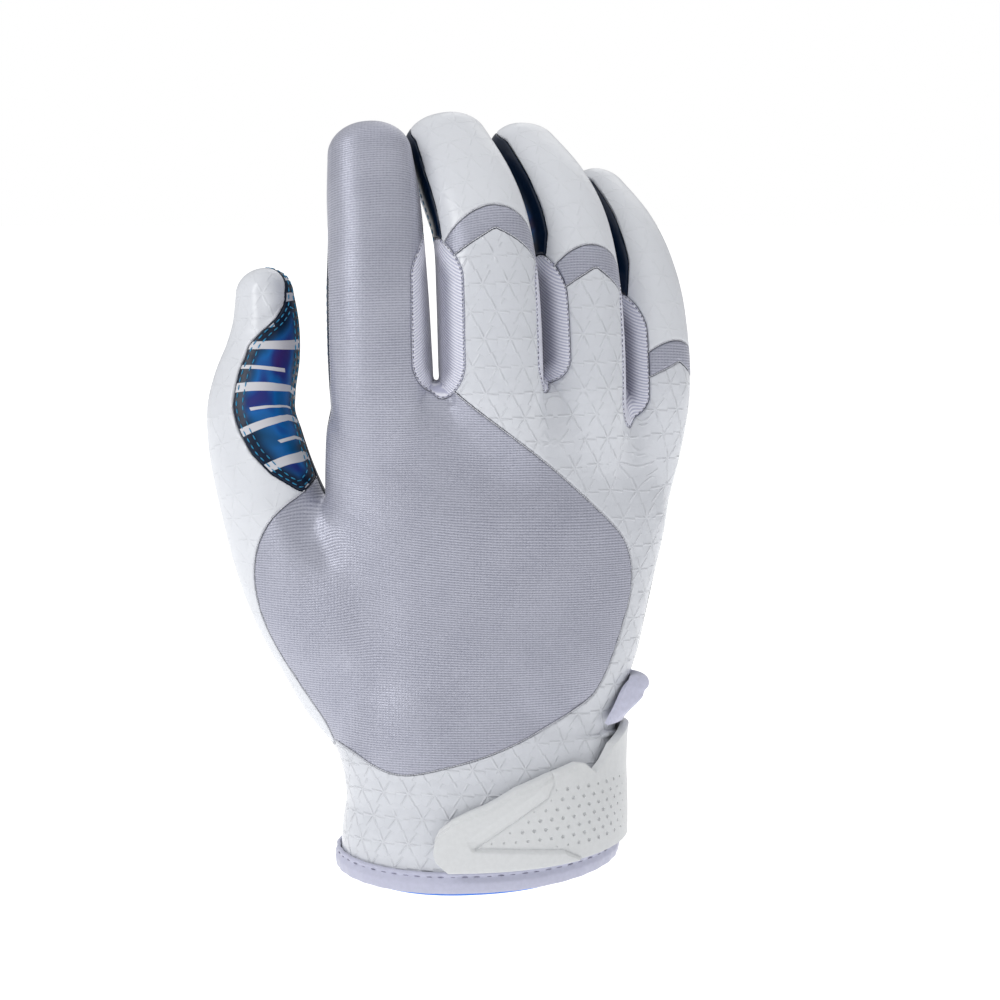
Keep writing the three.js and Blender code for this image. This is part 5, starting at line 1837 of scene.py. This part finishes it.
@dataclass
class Panel:
    """One panel of cloth with its edges turned under, laid over its CAD solid."""

    name: str
    slot: str
    finish: str
    wall: float = 1.35
    roll: float = ROLL

    def build(self, surface: Surface, material: bpy.types.Material) -> bpy.types.Object:
        """Makes the panel.

        Args:
            surface: its share of the skin.
            material: its finish.

        Returns:
            The piece, parented to the empty of the root body.
        """
        edge = surface.from_rim()
        turned, sunk = turned_under(edge, self.roll)
        sunk = sunk + creased(surface.points, surface.normals)
        outer = surface.points - surface.normals * sunk[:, None]
        inner = surface.points - surface.normals * (self.wall + sunk - self.roll * turned)[:, None]
        count = len(outer)
        rim = surface.rim()
        a, b = rim.T
        faces = np.vstack(
            [
                surface.faces,
                surface.faces[:, [0, 2, 1]] + count,
                np.stack([b, a, a + count], 1),
                np.stack([b, a + count, b + count], 1),
            ]
        )
        flat = np.stack([surface.get("u"), surface.get("v"), edge], 1)
        points, flat = np.vstack([outer, inner]), np.vstack([flat, flat])
        made = add_piece(self.name + "_cloth", points, faces, material, flat)
        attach(made, "root")
        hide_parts(self.name)
        area = area_of(surface.points, surface.faces) * MM * MM
        spans = [float(np.ptp(surface.get(k))) * MM for k in ("u", "v")]
        log.info("%s flat %.3f x %.3f area %.5f", self.name, *spans, area)
        return made


def ring_quads(columns: int, section: int) -> Grid:
    """Quads of a ring with a closed section, whose corners are numbered column by column.

    Args:
        columns: how many sections go round.
        section: corners of one section.

    Returns:
        The quads.
    """
    k, j = crossed(np.arange(columns), np.arange(section))
    ahead, up = (k + 1) % columns, (j + 1) % section
    corners = (k * section + j, ahead * section + j, ahead * section + up, k * section + up)
    return np.stack(corners, 1)


SHORT_SIDE = 0.45  # the largest share of a side that the rounding of one corner takes


def rounded_path(corners: list[tuple[float, float]], radius: float, steps: int = 4) -> Grid:
    """A closed section with its corners rounded.

    Args:
        corners: distance outside the skin and height, in order.
        radius: of every corner, or less where a side is short.
        steps: points on each corner.

    Returns:
        The section's points.
    """
    made, count = [], len(corners)
    points = np.array(corners)
    for k in range(count):
        here, before, after = points[k], points[k - 1], points[(k + 1) % count]
        cut = min(radius, *(float(np.linalg.norm(p - here)) * SHORT_SIDE for p in (before, after)))
        start = here + (before - here) / np.linalg.norm(before - here) * cut
        end = here + (after - here) / np.linalg.norm(after - here) * cut
        for t in np.linspace(0, 1, steps):
            made.append((1 - t) ** 2 * start + 2 * t * (1 - t) * here + t * t * end)
    return np.array(made)


@dataclass
class CuffTrim:
    """The fold of tape round the hem and the blue edge of the lining under it."""

    columns: int = 240
    soften: float = 0.5
    ripple: float = 0.12
    ripples: int = 34
    puff: float = 0.25
    foot_in: float = 0.2
    groove_in: float = 0.35
    head_in: float = 0.4
    shoulder_up: float = 0.1
    stitch_drop: float = 1.3
    edge_show: float = 0.75

    def ring(self, body: Tube, section: Grid) -> tuple[Grid, Grid]:
        """Points and quads of a ring with a section of distances outside the skin and heights.

        Args:
            body: the tube that it goes round.
            section: its corners.

        Returns:
            The points and the quads.
        """
        turn = np.arange(self.columns) / self.columns * 360
        grow = np.repeat(section[None, :, 0], self.columns, 0)
        height = np.repeat(section[None, :, 1], self.columns, 0)
        grow = grow + self.ripple * np.sin(np.radians(turn) * self.ripples)[:, None] * (grow > 0)
        degrees = np.repeat(turn[:, None], len(section), 1)
        points = body.skin_point(degrees.ravel(), height.ravel(), grow.ravel())
        return points, ring_quads(self.columns, len(section))

    def stitch_line(self, body: Tube) -> Grid:
        """The line of the stitches round the binding, as rows of point and outward direction."""
        turn = np.linspace(0, 360, self.columns * 2 + 1)
        height = np.full(len(turn), PIPING_DROP + BINDING_HEIGHT - self.stitch_drop)
        grows = (0.0, FIT_GAP + BINDING_WALL)
        skin, out = (body.skin_point(turn, height, np.full(len(turn), grow)) for grow in grows)
        return np.hstack([out, out - skin])

    def build(self, body: Tube, tape: bpy.types.Material, edge: bpy.types.Material) -> list[bpy.types.Object]:
        """Makes both rings.

        Args:
            body: the tube that they go round.
            tape: finish of the binding.
            edge: finish of the lining's edge.

        Returns:
            The two pieces.
        """
        low, high = PIPING_DROP, PIPING_DROP + BINDING_HEIGHT
        middle = (low + high) / 2
        out, inn = FIT_GAP + BINDING_WALL, -CLOTH_WALL - FIT_GAP - BINDING_WALL
        groove = high - self.stitch_drop
        fold = [
            (out - self.foot_in, low),
            (out + self.puff, middle),
            (out - self.groove_in, groove),
            (out, (groove + high) / 2 + self.shoulder_up),
            (out - self.head_in, high),
            (FIT_GAP, high),
            (FIT_GAP, low + BINDING_WALL),
            (inn + BINDING_WALL, low + BINDING_WALL),
            (inn + BINDING_WALL, high),
            (inn, high),
            (inn, low),
        ]
        lining = inn - FIT_GAP
        foot, back = -self.edge_show, lining - PIPING_WALL
        strip = [(lining, foot), (lining, BINDING_HEIGHT), (back, BINDING_HEIGHT), (back, foot)]
        made = []
        for name, corners, material, slot in (
            ("cuff_binding", fold, tape, "binding_tape"),
            ("cuff_edge_lining", strip, edge, "lining_edge"),
        ):
            points, faces = self.ring(body, rounded_path(corners, self.soften))
            piece = add_piece(name + "_tape", points, faces, material)
            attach(piece, "root")
            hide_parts(name)
            made.append(piece)
        return made


# The strap's edges: angles from the back of the cuff, and heights over the binding as shares of STRAP_HEIGHT
STRAP = Table(
    ("around", "low", "high"),
    (
        (-14.3, 0.14, 0.26),
        (-13, 0.075, 0.315),
        (-8.6, 0.0, 0.385),
        (0, 0.0, 0.468),
        (12, 0.0, 0.598),
        (25, 0.0, 0.683),
        (39.2, 0.0, 0.748),
        (43.2, 0.0, 0.736),
        (49.5, 0.0, 0.655),
        (56, 0.0, 0.729),
        (63, 0.0, 0.84),
        (74, 0.0, 0.9),
        (84, 0.0, 0.95),
        (96, 0.0, 0.95),
        (112, 0.0, 0.93),
        (130, 0.01, 0.9),
        (150, 0.03, 0.85),
        (170, 0.06, 0.8),
        (188, 0.1, 0.74),
        (196, 0.2, 0.62),
    ),
)
# The strap's sunk field in the photograph's view: its corners across and up
FIELD = Table(
    ("x", "up"),
    (
        (-2.4, 10.8),
        (21.9, 10.2),
        (26.8, 7.9),
        (27.5, -6.0),
        (80.0, -6.0),
        (80.0, 60.0),
        (19.8, 60.0),
        (19.2, 28.1),
        (17.6, 24.6),
    ),
)
VIEW_ELEVATION = 6.0
VIEW_SLOPE = math.tan(math.radians(VIEW_ELEVATION))


def inside_of(outline: Table, x: Grid, up: Grid) -> Grid:
    """Signed distance inside a closed outline of straight sides.

    Args:
        outline: its corners.
        x: the points' places across.
        up: their heights.

    Returns:
        One distance per point.
    """
    corners = np.stack([outline.column("x"), outline.column("up")], 1)
    gap, inside = np.full(len(x), np.inf), np.zeros(len(x), bool)
    for (ax, az), (dx, dz), here in sides_of(corners, np.roll(corners, -1, axis=0), x, up):
        gap = np.minimum(gap, here)
        beside = (az > up) != (az + dz > up)
        inside ^= beside & (x < ax + (up - az) * dx / (dz or 1.0))
    return np.where(inside, gap, -gap)


@dataclass
class WristStrap:
    """The moulded strap with its bevelled plateau, its sunk field and the rows of small pits in it."""

    front_columns: int = 370
    rear_columns: int = 60
    front_end: float = 95.0
    rows: int = 92
    edge_round: float = 0.5
    slopes: tuple[float, float] = (0.9, 3.4)
    slope_at: tuple[float, float] = (10.2, 13.0)
    relief: float = 1.25
    groove: float = 0.34
    groove_width: float = 0.34
    bevel: float = 0.9
    bevel_width: float = 1.5
    bevel_end: tuple[float, float] = (25.0, 28.0)
    pit_pitch: float = 3.26
    pit_row: float = 2.68
    pit_rows: int = 7
    pit_start: float = 5.3
    pit_width: tuple[float, float] = (0.5, 1.15)
    pit_room: tuple[float, float] = (0.7, 4.2)
    pit_fade: tuple[float, float] = (88.0, 52.0)
    smallest: float = 0.3
    sharp: float = 40.0

    def outline(self, around: Grid) -> tuple[Grid, Grid]:
        """Lower and upper edge at angles round the cuff."""
        return STRAP.read("low", around), STRAP.read("high", around)

    def height_at(self, around: Grid, across: Grid) -> Grid:
        """Height over the hem at shares of the strap's height.

        Args:
            around: angles round the cuff.
            across: shares of the way from the lower to the upper edge.

        Returns:
            One height per point.
        """
        low, high = self.outline(around)
        return PIPING_DROP + BINDING_HEIGHT + FIT_GAP + (low + (high - low) * across) * STRAP_HEIGHT

    def rise(self, body: Tube, around: Grid, across: Grid) -> tuple[Grid, Grid]:
        """Height of the relief, and the distance inside the sunk field.

        Args:
            body: the tube that the strap goes round.
            around: angles round the cuff.
            across: shares of the way from the lower to the upper edge.

        Returns:
            The height and the distance.
        """
        low, high = self.outline(around)
        height = self.height_at(around, across)
        face = body.skin_point(around, height, np.full(len(around), STRAP_LIFT + STRAP_WALL))
        up = face[:, 2] + VIEW_SLOPE * face[:, 1]
        inside = np.where(around < self.front_end, inside_of(FIELD, face[:, 0], up), FAR)
        slope = np.interp(up, self.slope_at, self.slopes)
        plateau = self.relief * STRAP_RIM * np.clip(-inside / slope, 0, 1)
        groove = self.groove * np.exp(-((inside / self.groove_width) ** 2))
        from_top = (1 - across) * (high - low) * STRAP_HEIGHT
        bevel = self.bevel * np.clip(1 - from_top / self.bevel_width, 0, 1)
        bevel = bevel + self.groove * np.exp(-(((from_top - self.bevel_width) / self.groove_width) ** 2))
        bevel = bevel * (1 - smoothstep(*self.bevel_end, face[:, 0])) * (around < self.front_end)
        return plateau - groove - bevel, inside

    def pits(self, body: Tube) -> tuple[Grid, Grid]:
        """Centres and widths of the pits in the field.

        Args:
            body: the tube that the strap goes round.

        Returns:
            The centres and the widths.
        """
        around = np.linspace(STRAP.column("around")[0], self.front_end, self.front_columns)
        foot = body.skin_point(around, self.height_at(around, 0 * around), np.full(len(around), STRAP_WALL))
        run = lengths_along(foot)
        points, widths = [], []
        for k in range(self.pit_rows):
            at = np.arange(0, run[-1], self.pit_pitch) + (k % 2) * self.pit_pitch / 2
            angle = np.interp(at, run, around)
            low, high = self.outline(angle)
            height = self.pit_start + k * self.pit_row
            across = (height / STRAP_HEIGHT - low) / (high - low)
            rise, inside = self.rise(body, angle, across)
            room = np.minimum(inside, high * STRAP_HEIGHT - height - self.bevel_width)
            grade = smoothstep(*self.pit_room, room)
            width = self.pit_width[0] + (self.pit_width[1] - self.pit_width[0]) * grade
            width = width * (1 - smoothstep(*self.pit_fade[::-1], angle))
            keep = (room > self.pit_room[0]) & (width > self.smallest)
            grow = STRAP_LIFT + STRAP_WALL + rise
            points.append(body.skin_point(angle, self.height_at(angle, across), grow)[keep])
            widths.append(width[keep])
        return np.vstack(points), np.concatenate(widths)

    def pressed(self, strap: bpy.types.Object, body: Tube, material: bpy.types.Material) -> None:
        """Cuts the pits out of the strap: round beads set by geometry nodes, taken away from it.

        Args:
            strap: the piece, which is changed.
            body: the tube that it goes round.
            material: its finish.
        """
        made = Repeater("strap_pits")
        bead = made.node("GeometryNodeMeshIcoSphere", **PIT)
        width = made.node("GeometryNodeInputNamedAttribute", Name="width")
        given = made.given["Geometry"]
        row = made.node("GeometryNodeInstanceOnPoints", Points=given, Instance=bead.outputs[0])
        made.tree.links.new(width.outputs[0], row.inputs["Scale"])
        made.close(row.outputs[0], material)
        points, widths = self.pits(body)
        beads = made.run(points, np.zeros((0, 2), int), {}, widths)
        cut = strap.modifiers.new("pits", "BOOLEAN")
        cut.operation, cut.solver, cut.object = "DIFFERENCE", "EXACT", beads
        settle(strap, cut)
        bpy.data.objects.remove(beads)
        log.info("strap pits: %d", len(points))

    def build(self, body: Tube, material: bpy.types.Material) -> bpy.types.Object:
        """Makes the strap and presses its pits in.

        Args:
            body: the tube that it goes round.
            material: its finish.

        Returns:
            The piece, parented to the empty of the root body.
        """
        ends = STRAP.column("around")[[0, -1]]
        front = np.linspace(ends[0], self.front_end, self.front_columns, endpoint=False)
        around = np.concatenate([front, np.linspace(self.front_end, ends[1], self.rear_columns)])
        across = np.linspace(0, 1, self.rows)
        column, row = crossed(around, across)
        low, high = self.outline(column)
        from_edge = np.minimum(row, 1 - row) * (high - low) * STRAP_HEIGHT
        from_end = np.minimum(column - ends[0], ends[1] - column) * math.radians(CUFF_WIDTH / 2)
        _, sink = turned_under(np.minimum(from_edge, from_end), self.edge_round)
        rise, _ = self.rise(body, column, row)
        height = self.height_at(column, row)
        outer = body.skin_point(column, height, STRAP_LIFT + STRAP_WALL + rise - sink)
        inner = body.skin_point(column, height, np.full(len(column), STRAP_LIFT))
        points, faces = plate(outer, inner, len(around), self.rows)
        strap = add_piece("wrist_strap_moulding", points, faces, material, sharp=self.sharp)
        self.pressed(strap, body, material)
        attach(strap, "root")
        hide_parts("wrist_strap")
        return strap


def plate(outer: Grid, inner: Grid, columns: int, rows: int) -> tuple[Grid, Grid]:
    """A closed plate between an outer and an inner grid of points, numbered column by column.

    Args:
        outer: the outer points.
        inner: the inner points.
        columns: how many columns.
        rows: how many rows.

    Returns:
        The points and the quads.
    """
    n = columns * rows
    c, r = crossed(np.arange(columns - 1), np.arange(rows - 1))
    a, b = c * rows + r, (c + 1) * rows + r
    face = np.stack([a, b, b + 1, a + 1], 1)
    back = face[:, ::-1] + n
    c = np.arange(columns - 1)
    a, b = c * rows, (c + 1) * rows
    foot = np.stack([a + n, b + n, b, a], 1)
    a, b = a + rows - 1, b + rows - 1
    head = np.stack([a, b, b + n, a + n], 1)
    r = np.arange(rows - 1)
    start = np.stack([r, r + 1, r + 1 + n, r + n], 1)
    r = r + (columns - 1) * rows
    end = np.stack([r + n, r + 1 + n, r + 1, r], 1)
    return np.vstack([outer, inner]), np.vstack([face, back, foot, head, start, end])


# The loop's section from its foot up and back: height over the binding as a share of STRAP_HEIGHT, how far it
# stands out as a share of VENT_LOOP, and the angles of its front and rear ends
VENT = Table(
    ("up", "out", "front", "rear"),
    (
        (0.99, 0.0, 60, 98),
        (1.03, 0.18, 62, 99),
        (1.08, 0.45, 65, 101),
        (1.14, 0.78, 68, 103),
        (1.2, 1.0, 71, 104),
        (1.25, 0.98, 74, 105),
        (1.285, 0.75, 77, 106),
        (1.295, 0.35, 79, 107),
        (1.28, 0.0, 80, 107),
    ),
)
VENT_CLOSING = 2.2  # how late the loop comes back to the cuff towards its rear end


@dataclass
class VentLoop:
    """The loop of thin cloth that stands out above the strap on the little finger's side."""

    rows: int = 60
    columns: int = 40
    front_open: float = 0.02
    front_turn: float = 0.3
    fold_at: float = 0.5
    fold_width: float = 0.05
    fold_depth: float = 0.13

    def build(self, body: Tube, material: bpy.types.Material) -> bpy.types.Object:
        """Makes the loop.

        Args:
            body: the tube that it stands on.
            material: its finish.

        Returns:
            The piece, parented to the empty of the root body.
        """
        knots = np.array(VENT.rows)
        made = catmull_rom(knots, np.linspace(0, len(knots) - 1, self.rows))
        rises, stands, front_end, rear_end = made.T
        out = stands * VENT_LOOP
        up = rises * STRAP_HEIGHT + PIPING_DROP + BINDING_HEIGHT + FIT_GAP
        step = unit(np.stack([np.gradient(out), np.gradient(up)], 1))
        share, rise = np.linspace(0, 1, self.columns), np.linspace(0, 1, self.rows)
        grids = []
        for lift in (VENT_WALL / 2, -VENT_WALL / 2):
            around = front_end[:, None] * (1 - share) + rear_end[:, None] * share
            height = np.repeat((up - step[:, 0] * lift)[:, None], self.columns, 1)
            front = smoothstep(-self.front_open, self.front_turn, share)
            fold = 1 - self.fold_depth * np.exp(-(((rise - self.fold_at) / self.fold_width) ** 2))
            stand = (out * fold)[:, None] * (1 - share**VENT_CLOSING) * front + (step[:, 1] * lift)[:, None]
            grow = 2 * FIT_GAP + VENT_WALL + stand
            grids.append(body.skin_point(around.T.ravel(), height.T.ravel(), grow.T.ravel()))
        points, faces = plate(grids[0], grids[1], self.columns, self.rows)
        loop = add_piece("vent_gusset_loop", points, faces, material)
        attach(loop, "root")
        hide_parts("vent_gusset")
        return loop


@dataclass(frozen=True)
class Lamp:
    """A square soft light that looks at the glove: its place and size in metres, and its power in watts."""

    name: str
    place: tuple[float, float, float]
    size: float
    power: float


WHITE = (1.0, 1.0, 1.0)


@dataclass
class Studio:
    """Pale floor, soft lights and the camera of the photograph."""

    target: tuple[float, float, float] = (4.2, 0.0, 107.3)
    distance: float = 950.0
    elevation: float = VIEW_ELEVATION
    field: float = 280.0
    sensor: float = 36.0
    floor_drop: float = 60.0
    floor_size: float = 20000.0
    floor_glow: float = 0.55
    floor_finish: PlainFinish = PlainFinish("pale_floor", (0.85, 0.85, 0.85), 0.9, depth=0.0, mottle=0.0)
    dim: float = 0.3
    bright: float = 0.4
    bright_from: tuple[float, float] = (-0.8, 0.2)
    top: float = 0.66
    top_from: tuple[float, float] = (0.3, 0.95)
    lamps: tuple[Lamp, ...] = (
        Lamp("key_light", (-1.0, -0.75, 0.85), 0.55, 5.2),
        Lamp("fill_light", (0.9, -0.7, 0.3), 0.8, 0.3),
        Lamp("rim_light", (0.3, 0.9, 0.8), 0.7, 1.2),
    )

    def build(self) -> None:
        """Sets the stage."""
        bpy.context.scene.view_settings.view_transform = "Standard"
        self.floor()
        self.sky()
        self.lights()
        self.camera()

    def floor(self) -> None:
        """A wide pale floor under the glove."""
        place = (0, 0, -self.floor_drop * MM)
        bpy.ops.mesh.primitive_plane_add(size=self.floor_size * MM, location=place)
        floor = bpy.context.object
        floor.name = "studio_floor"
        pale = self.floor_finish.make()
        glow = pale.node_tree.nodes["Principled BSDF"].inputs
        glow["Emission Color"].default_value = opaque(WHITE)
        glow["Emission Strength"].default_value = self.floor_glow
        floor.data.materials.append(pale)

    def sky(self) -> None:
        """Soft light from all round, brighter from above and behind the glove, before a white backdrop."""
        world = bpy.data.worlds.new("studio_light")
        world.use_nodes = True
        tree = world.node_tree
        way = tree.nodes.new("ShaderNodeTexCoord")
        parts = tree.nodes.new("ShaderNodeSeparateXYZ")
        tree.links.new(way.outputs["Generated"], parts.inputs[0])
        share = Wire(tree, parts.outputs["Y"]).step(*self.bright_from)
        high = Wire(tree, parts.outputs["Z"]).step(*self.top_from)
        background = tree.nodes["Background"]
        background.inputs["Color"].default_value = opaque(WHITE)
        light = share * (self.bright - self.dim) + high * self.top + self.dim
        seen = Wire(tree, tree.nodes.new("ShaderNodeLightPath").outputs["Is Camera Ray"])
        feed(tree, background.inputs["Strength"], light.op("MAXIMUM", seen))
        bpy.context.scene.world = world

    def lights(self) -> None:
        """Three soft lights: key from the upper left, fill from the right, and one from behind."""
        for lamp in self.lamps:
            light = bpy.data.lights.new(lamp.name, "AREA")
            light.size, light.energy = lamp.size, lamp.power
            made = set_out(lamp.name, light)
            made.location = lamp.place
            aim = Vector(self.target) * MM - Vector(lamp.place)
            made.rotation_euler = aim.to_track_quat("-Z", "Y").to_euler()

    def camera(self) -> None:
        """The camera at the photograph's viewing angle."""
        data = bpy.data.cameras.new("photo_camera")
        data.sensor_width = self.sensor
        data.lens = data.sensor_width * self.distance / self.field
        made = set_out("photo_camera", data)
        rise = math.radians(self.elevation)
        away = Vector((0, -math.cos(rise), math.sin(rise)))
        made.location = (Vector(self.target) + away * self.distance) * MM
        made.rotation_euler = (-away).to_track_quat("-Z", "Y").to_euler()
        bpy.context.scene.camera = made


PANELS = (
    Panel("back_panel", "grey_knit", "silver_knit"),
    Panel("back_overlay", "white_film", "embossed_film"),
    Panel("thumb_back", "white_film", "smooth_film_painted_light"),
    Panel("thumb_wrap", "printed_grip", "printed_grip"),
    *(Panel(name + "_tip_back", "white_film", "smooth_film_painted_light") for name in BANDS),
    *(Panel(name + "_flex_band", "grey_knit", "silver_knit") for name in BANDS),
    *(Panel(name, "ribbed_knit", "ribbed_knit") for name in STRIPS),
    Panel("palm_panel", "printed_grip", "printed_palm"),
)


# The rows of stitches: how far inside the panel's edge they run, and on which panels
WRAP_STITCHES = (1.3, 3.1)
PALM_STITCHES = 5.6
SEAM_STITCHES = 0.3
EDGE_STITCHES = 0.12
FINGER_BACKS = tuple(name + part for name in BANDS for part in ("_flex_band", "_tip_back"))
EDGED = ("back_panel", "thumb_back", *FINGER_BACKS)
STITCHINGS = (
    (Stitching("wrap_stitches", "printed_grip", 2.3, 1.7, 0.38, 0.08), "teal_thread"),
    (Stitching("palm_stitches", "printed_grip", 2.3, 1.7, 0.32, 0.04), "teal_thread"),
    (Stitching("seam_stitches", "grey_knit", 1.5, 0.8, 0.24, -0.06), "grey_thread"),
    (Stitching("edge_stitches", "white_film", 0.8, 0.9, 0.3, -0.12), "white_thread"),
    (Stitching("binding_stitches", "binding_tape", 3.3, 1.8, 0.34, -0.25), "pale_thread"),
)


def main() -> None:
    """Builds the glove and its stage."""
    logging.basicConfig(level=logging.INFO, format="%(message)s")
    finishes = (
        SatinKnit(),
        RibbedKnit(),
        EmbossedFilm(),
        # A copy of the film for the thumb and the fingertips: its paler tint is painted light, while its
        # fainter stars and rougher shine are its own.
        EmbossedFilm("smooth_film_painted_light", (0.69, 0.71, 0.755), ridge=0.07, facet=0.06, roughness=0.36),
        PrintedGrip(),
        PrintedGrip("printed_palm", Layout.STRAIGHT, border_to=(3.0, 6.5), bar_from=7.0),
        PlainFinish("binding_tape", (0.51, 0.52, 0.655), 0.7, sheen=0.4, depth=0.03, mottle=0.03),
        PlainFinish("lining_edge", (0.06, 0.22, 0.8), 0.7, sheen=0.3, depth=0.05),
        PlainFinish("vent_cloth", (0.6, 0.61, 0.76), 0.7, sheen=0.4, depth=0.03, mottle=0.04),
        PlainFinish("moulded_white", (0.67, 0.685, 0.7), 0.42, mottle=0.02),
        PlainFinish("teal_thread", (0.012, 0.27, 0.52), 0.4, mottle=0.2),
        PlainFinish("grey_thread", (0.16, 0.165, 0.22), 0.6, mottle=0.2),
        PlainFinish("pale_thread", (0.3, 0.3, 0.42), 0.6, mottle=0.2),
        PlainFinish("white_thread", (0.66, 0.67, 0.72), 0.6, mottle=0.1),
    )
    paints = {finish.name: finish.make() for finish in finishes}
    hand = Hand()
    surfaces = cut_panels(Surface.of(hand))
    body = hand.tubes["body"]
    for panel in PANELS:
        made = panel.build(surfaces[panel.name], paints[panel.finish])
        log.info("made %s", made.name)
    trim = CuffTrim()
    for made in trim.build(body, paints["binding_tape"], paints["lining_edge"]):
        log.info("made %s", made.name)
    sewn = {
        "wrap_stitches": [c for inset in WRAP_STITCHES for c in surfaces["thumb_wrap"].line("wrap", inset)],
        "palm_stitches": surfaces["palm_panel"].line("palm", PALM_STITCHES),
        "seam_stitches": [c for name in STRIPS for c in surfaces[name].line(CUTS[name], SEAM_STITCHES)],
        "edge_stitches": [c for name in EDGED for c in surfaces[name].line(CUTS[name], EDGE_STITCHES)],
        "binding_stitches": [trim.stitch_line(body)],
    }
    for stitching, thread in STITCHINGS:
        made = stitching.build(sewn[stitching.name], paints[thread])
        log.info("made %s", made.name)
    log.info("made %s", WristStrap().build(body, paints["moulded_white"]).name)
    log.info("made %s", VentLoop().build(body, paints["vent_cloth"]).name)
    Studio().build()


if __name__ == "__main__":
    main()
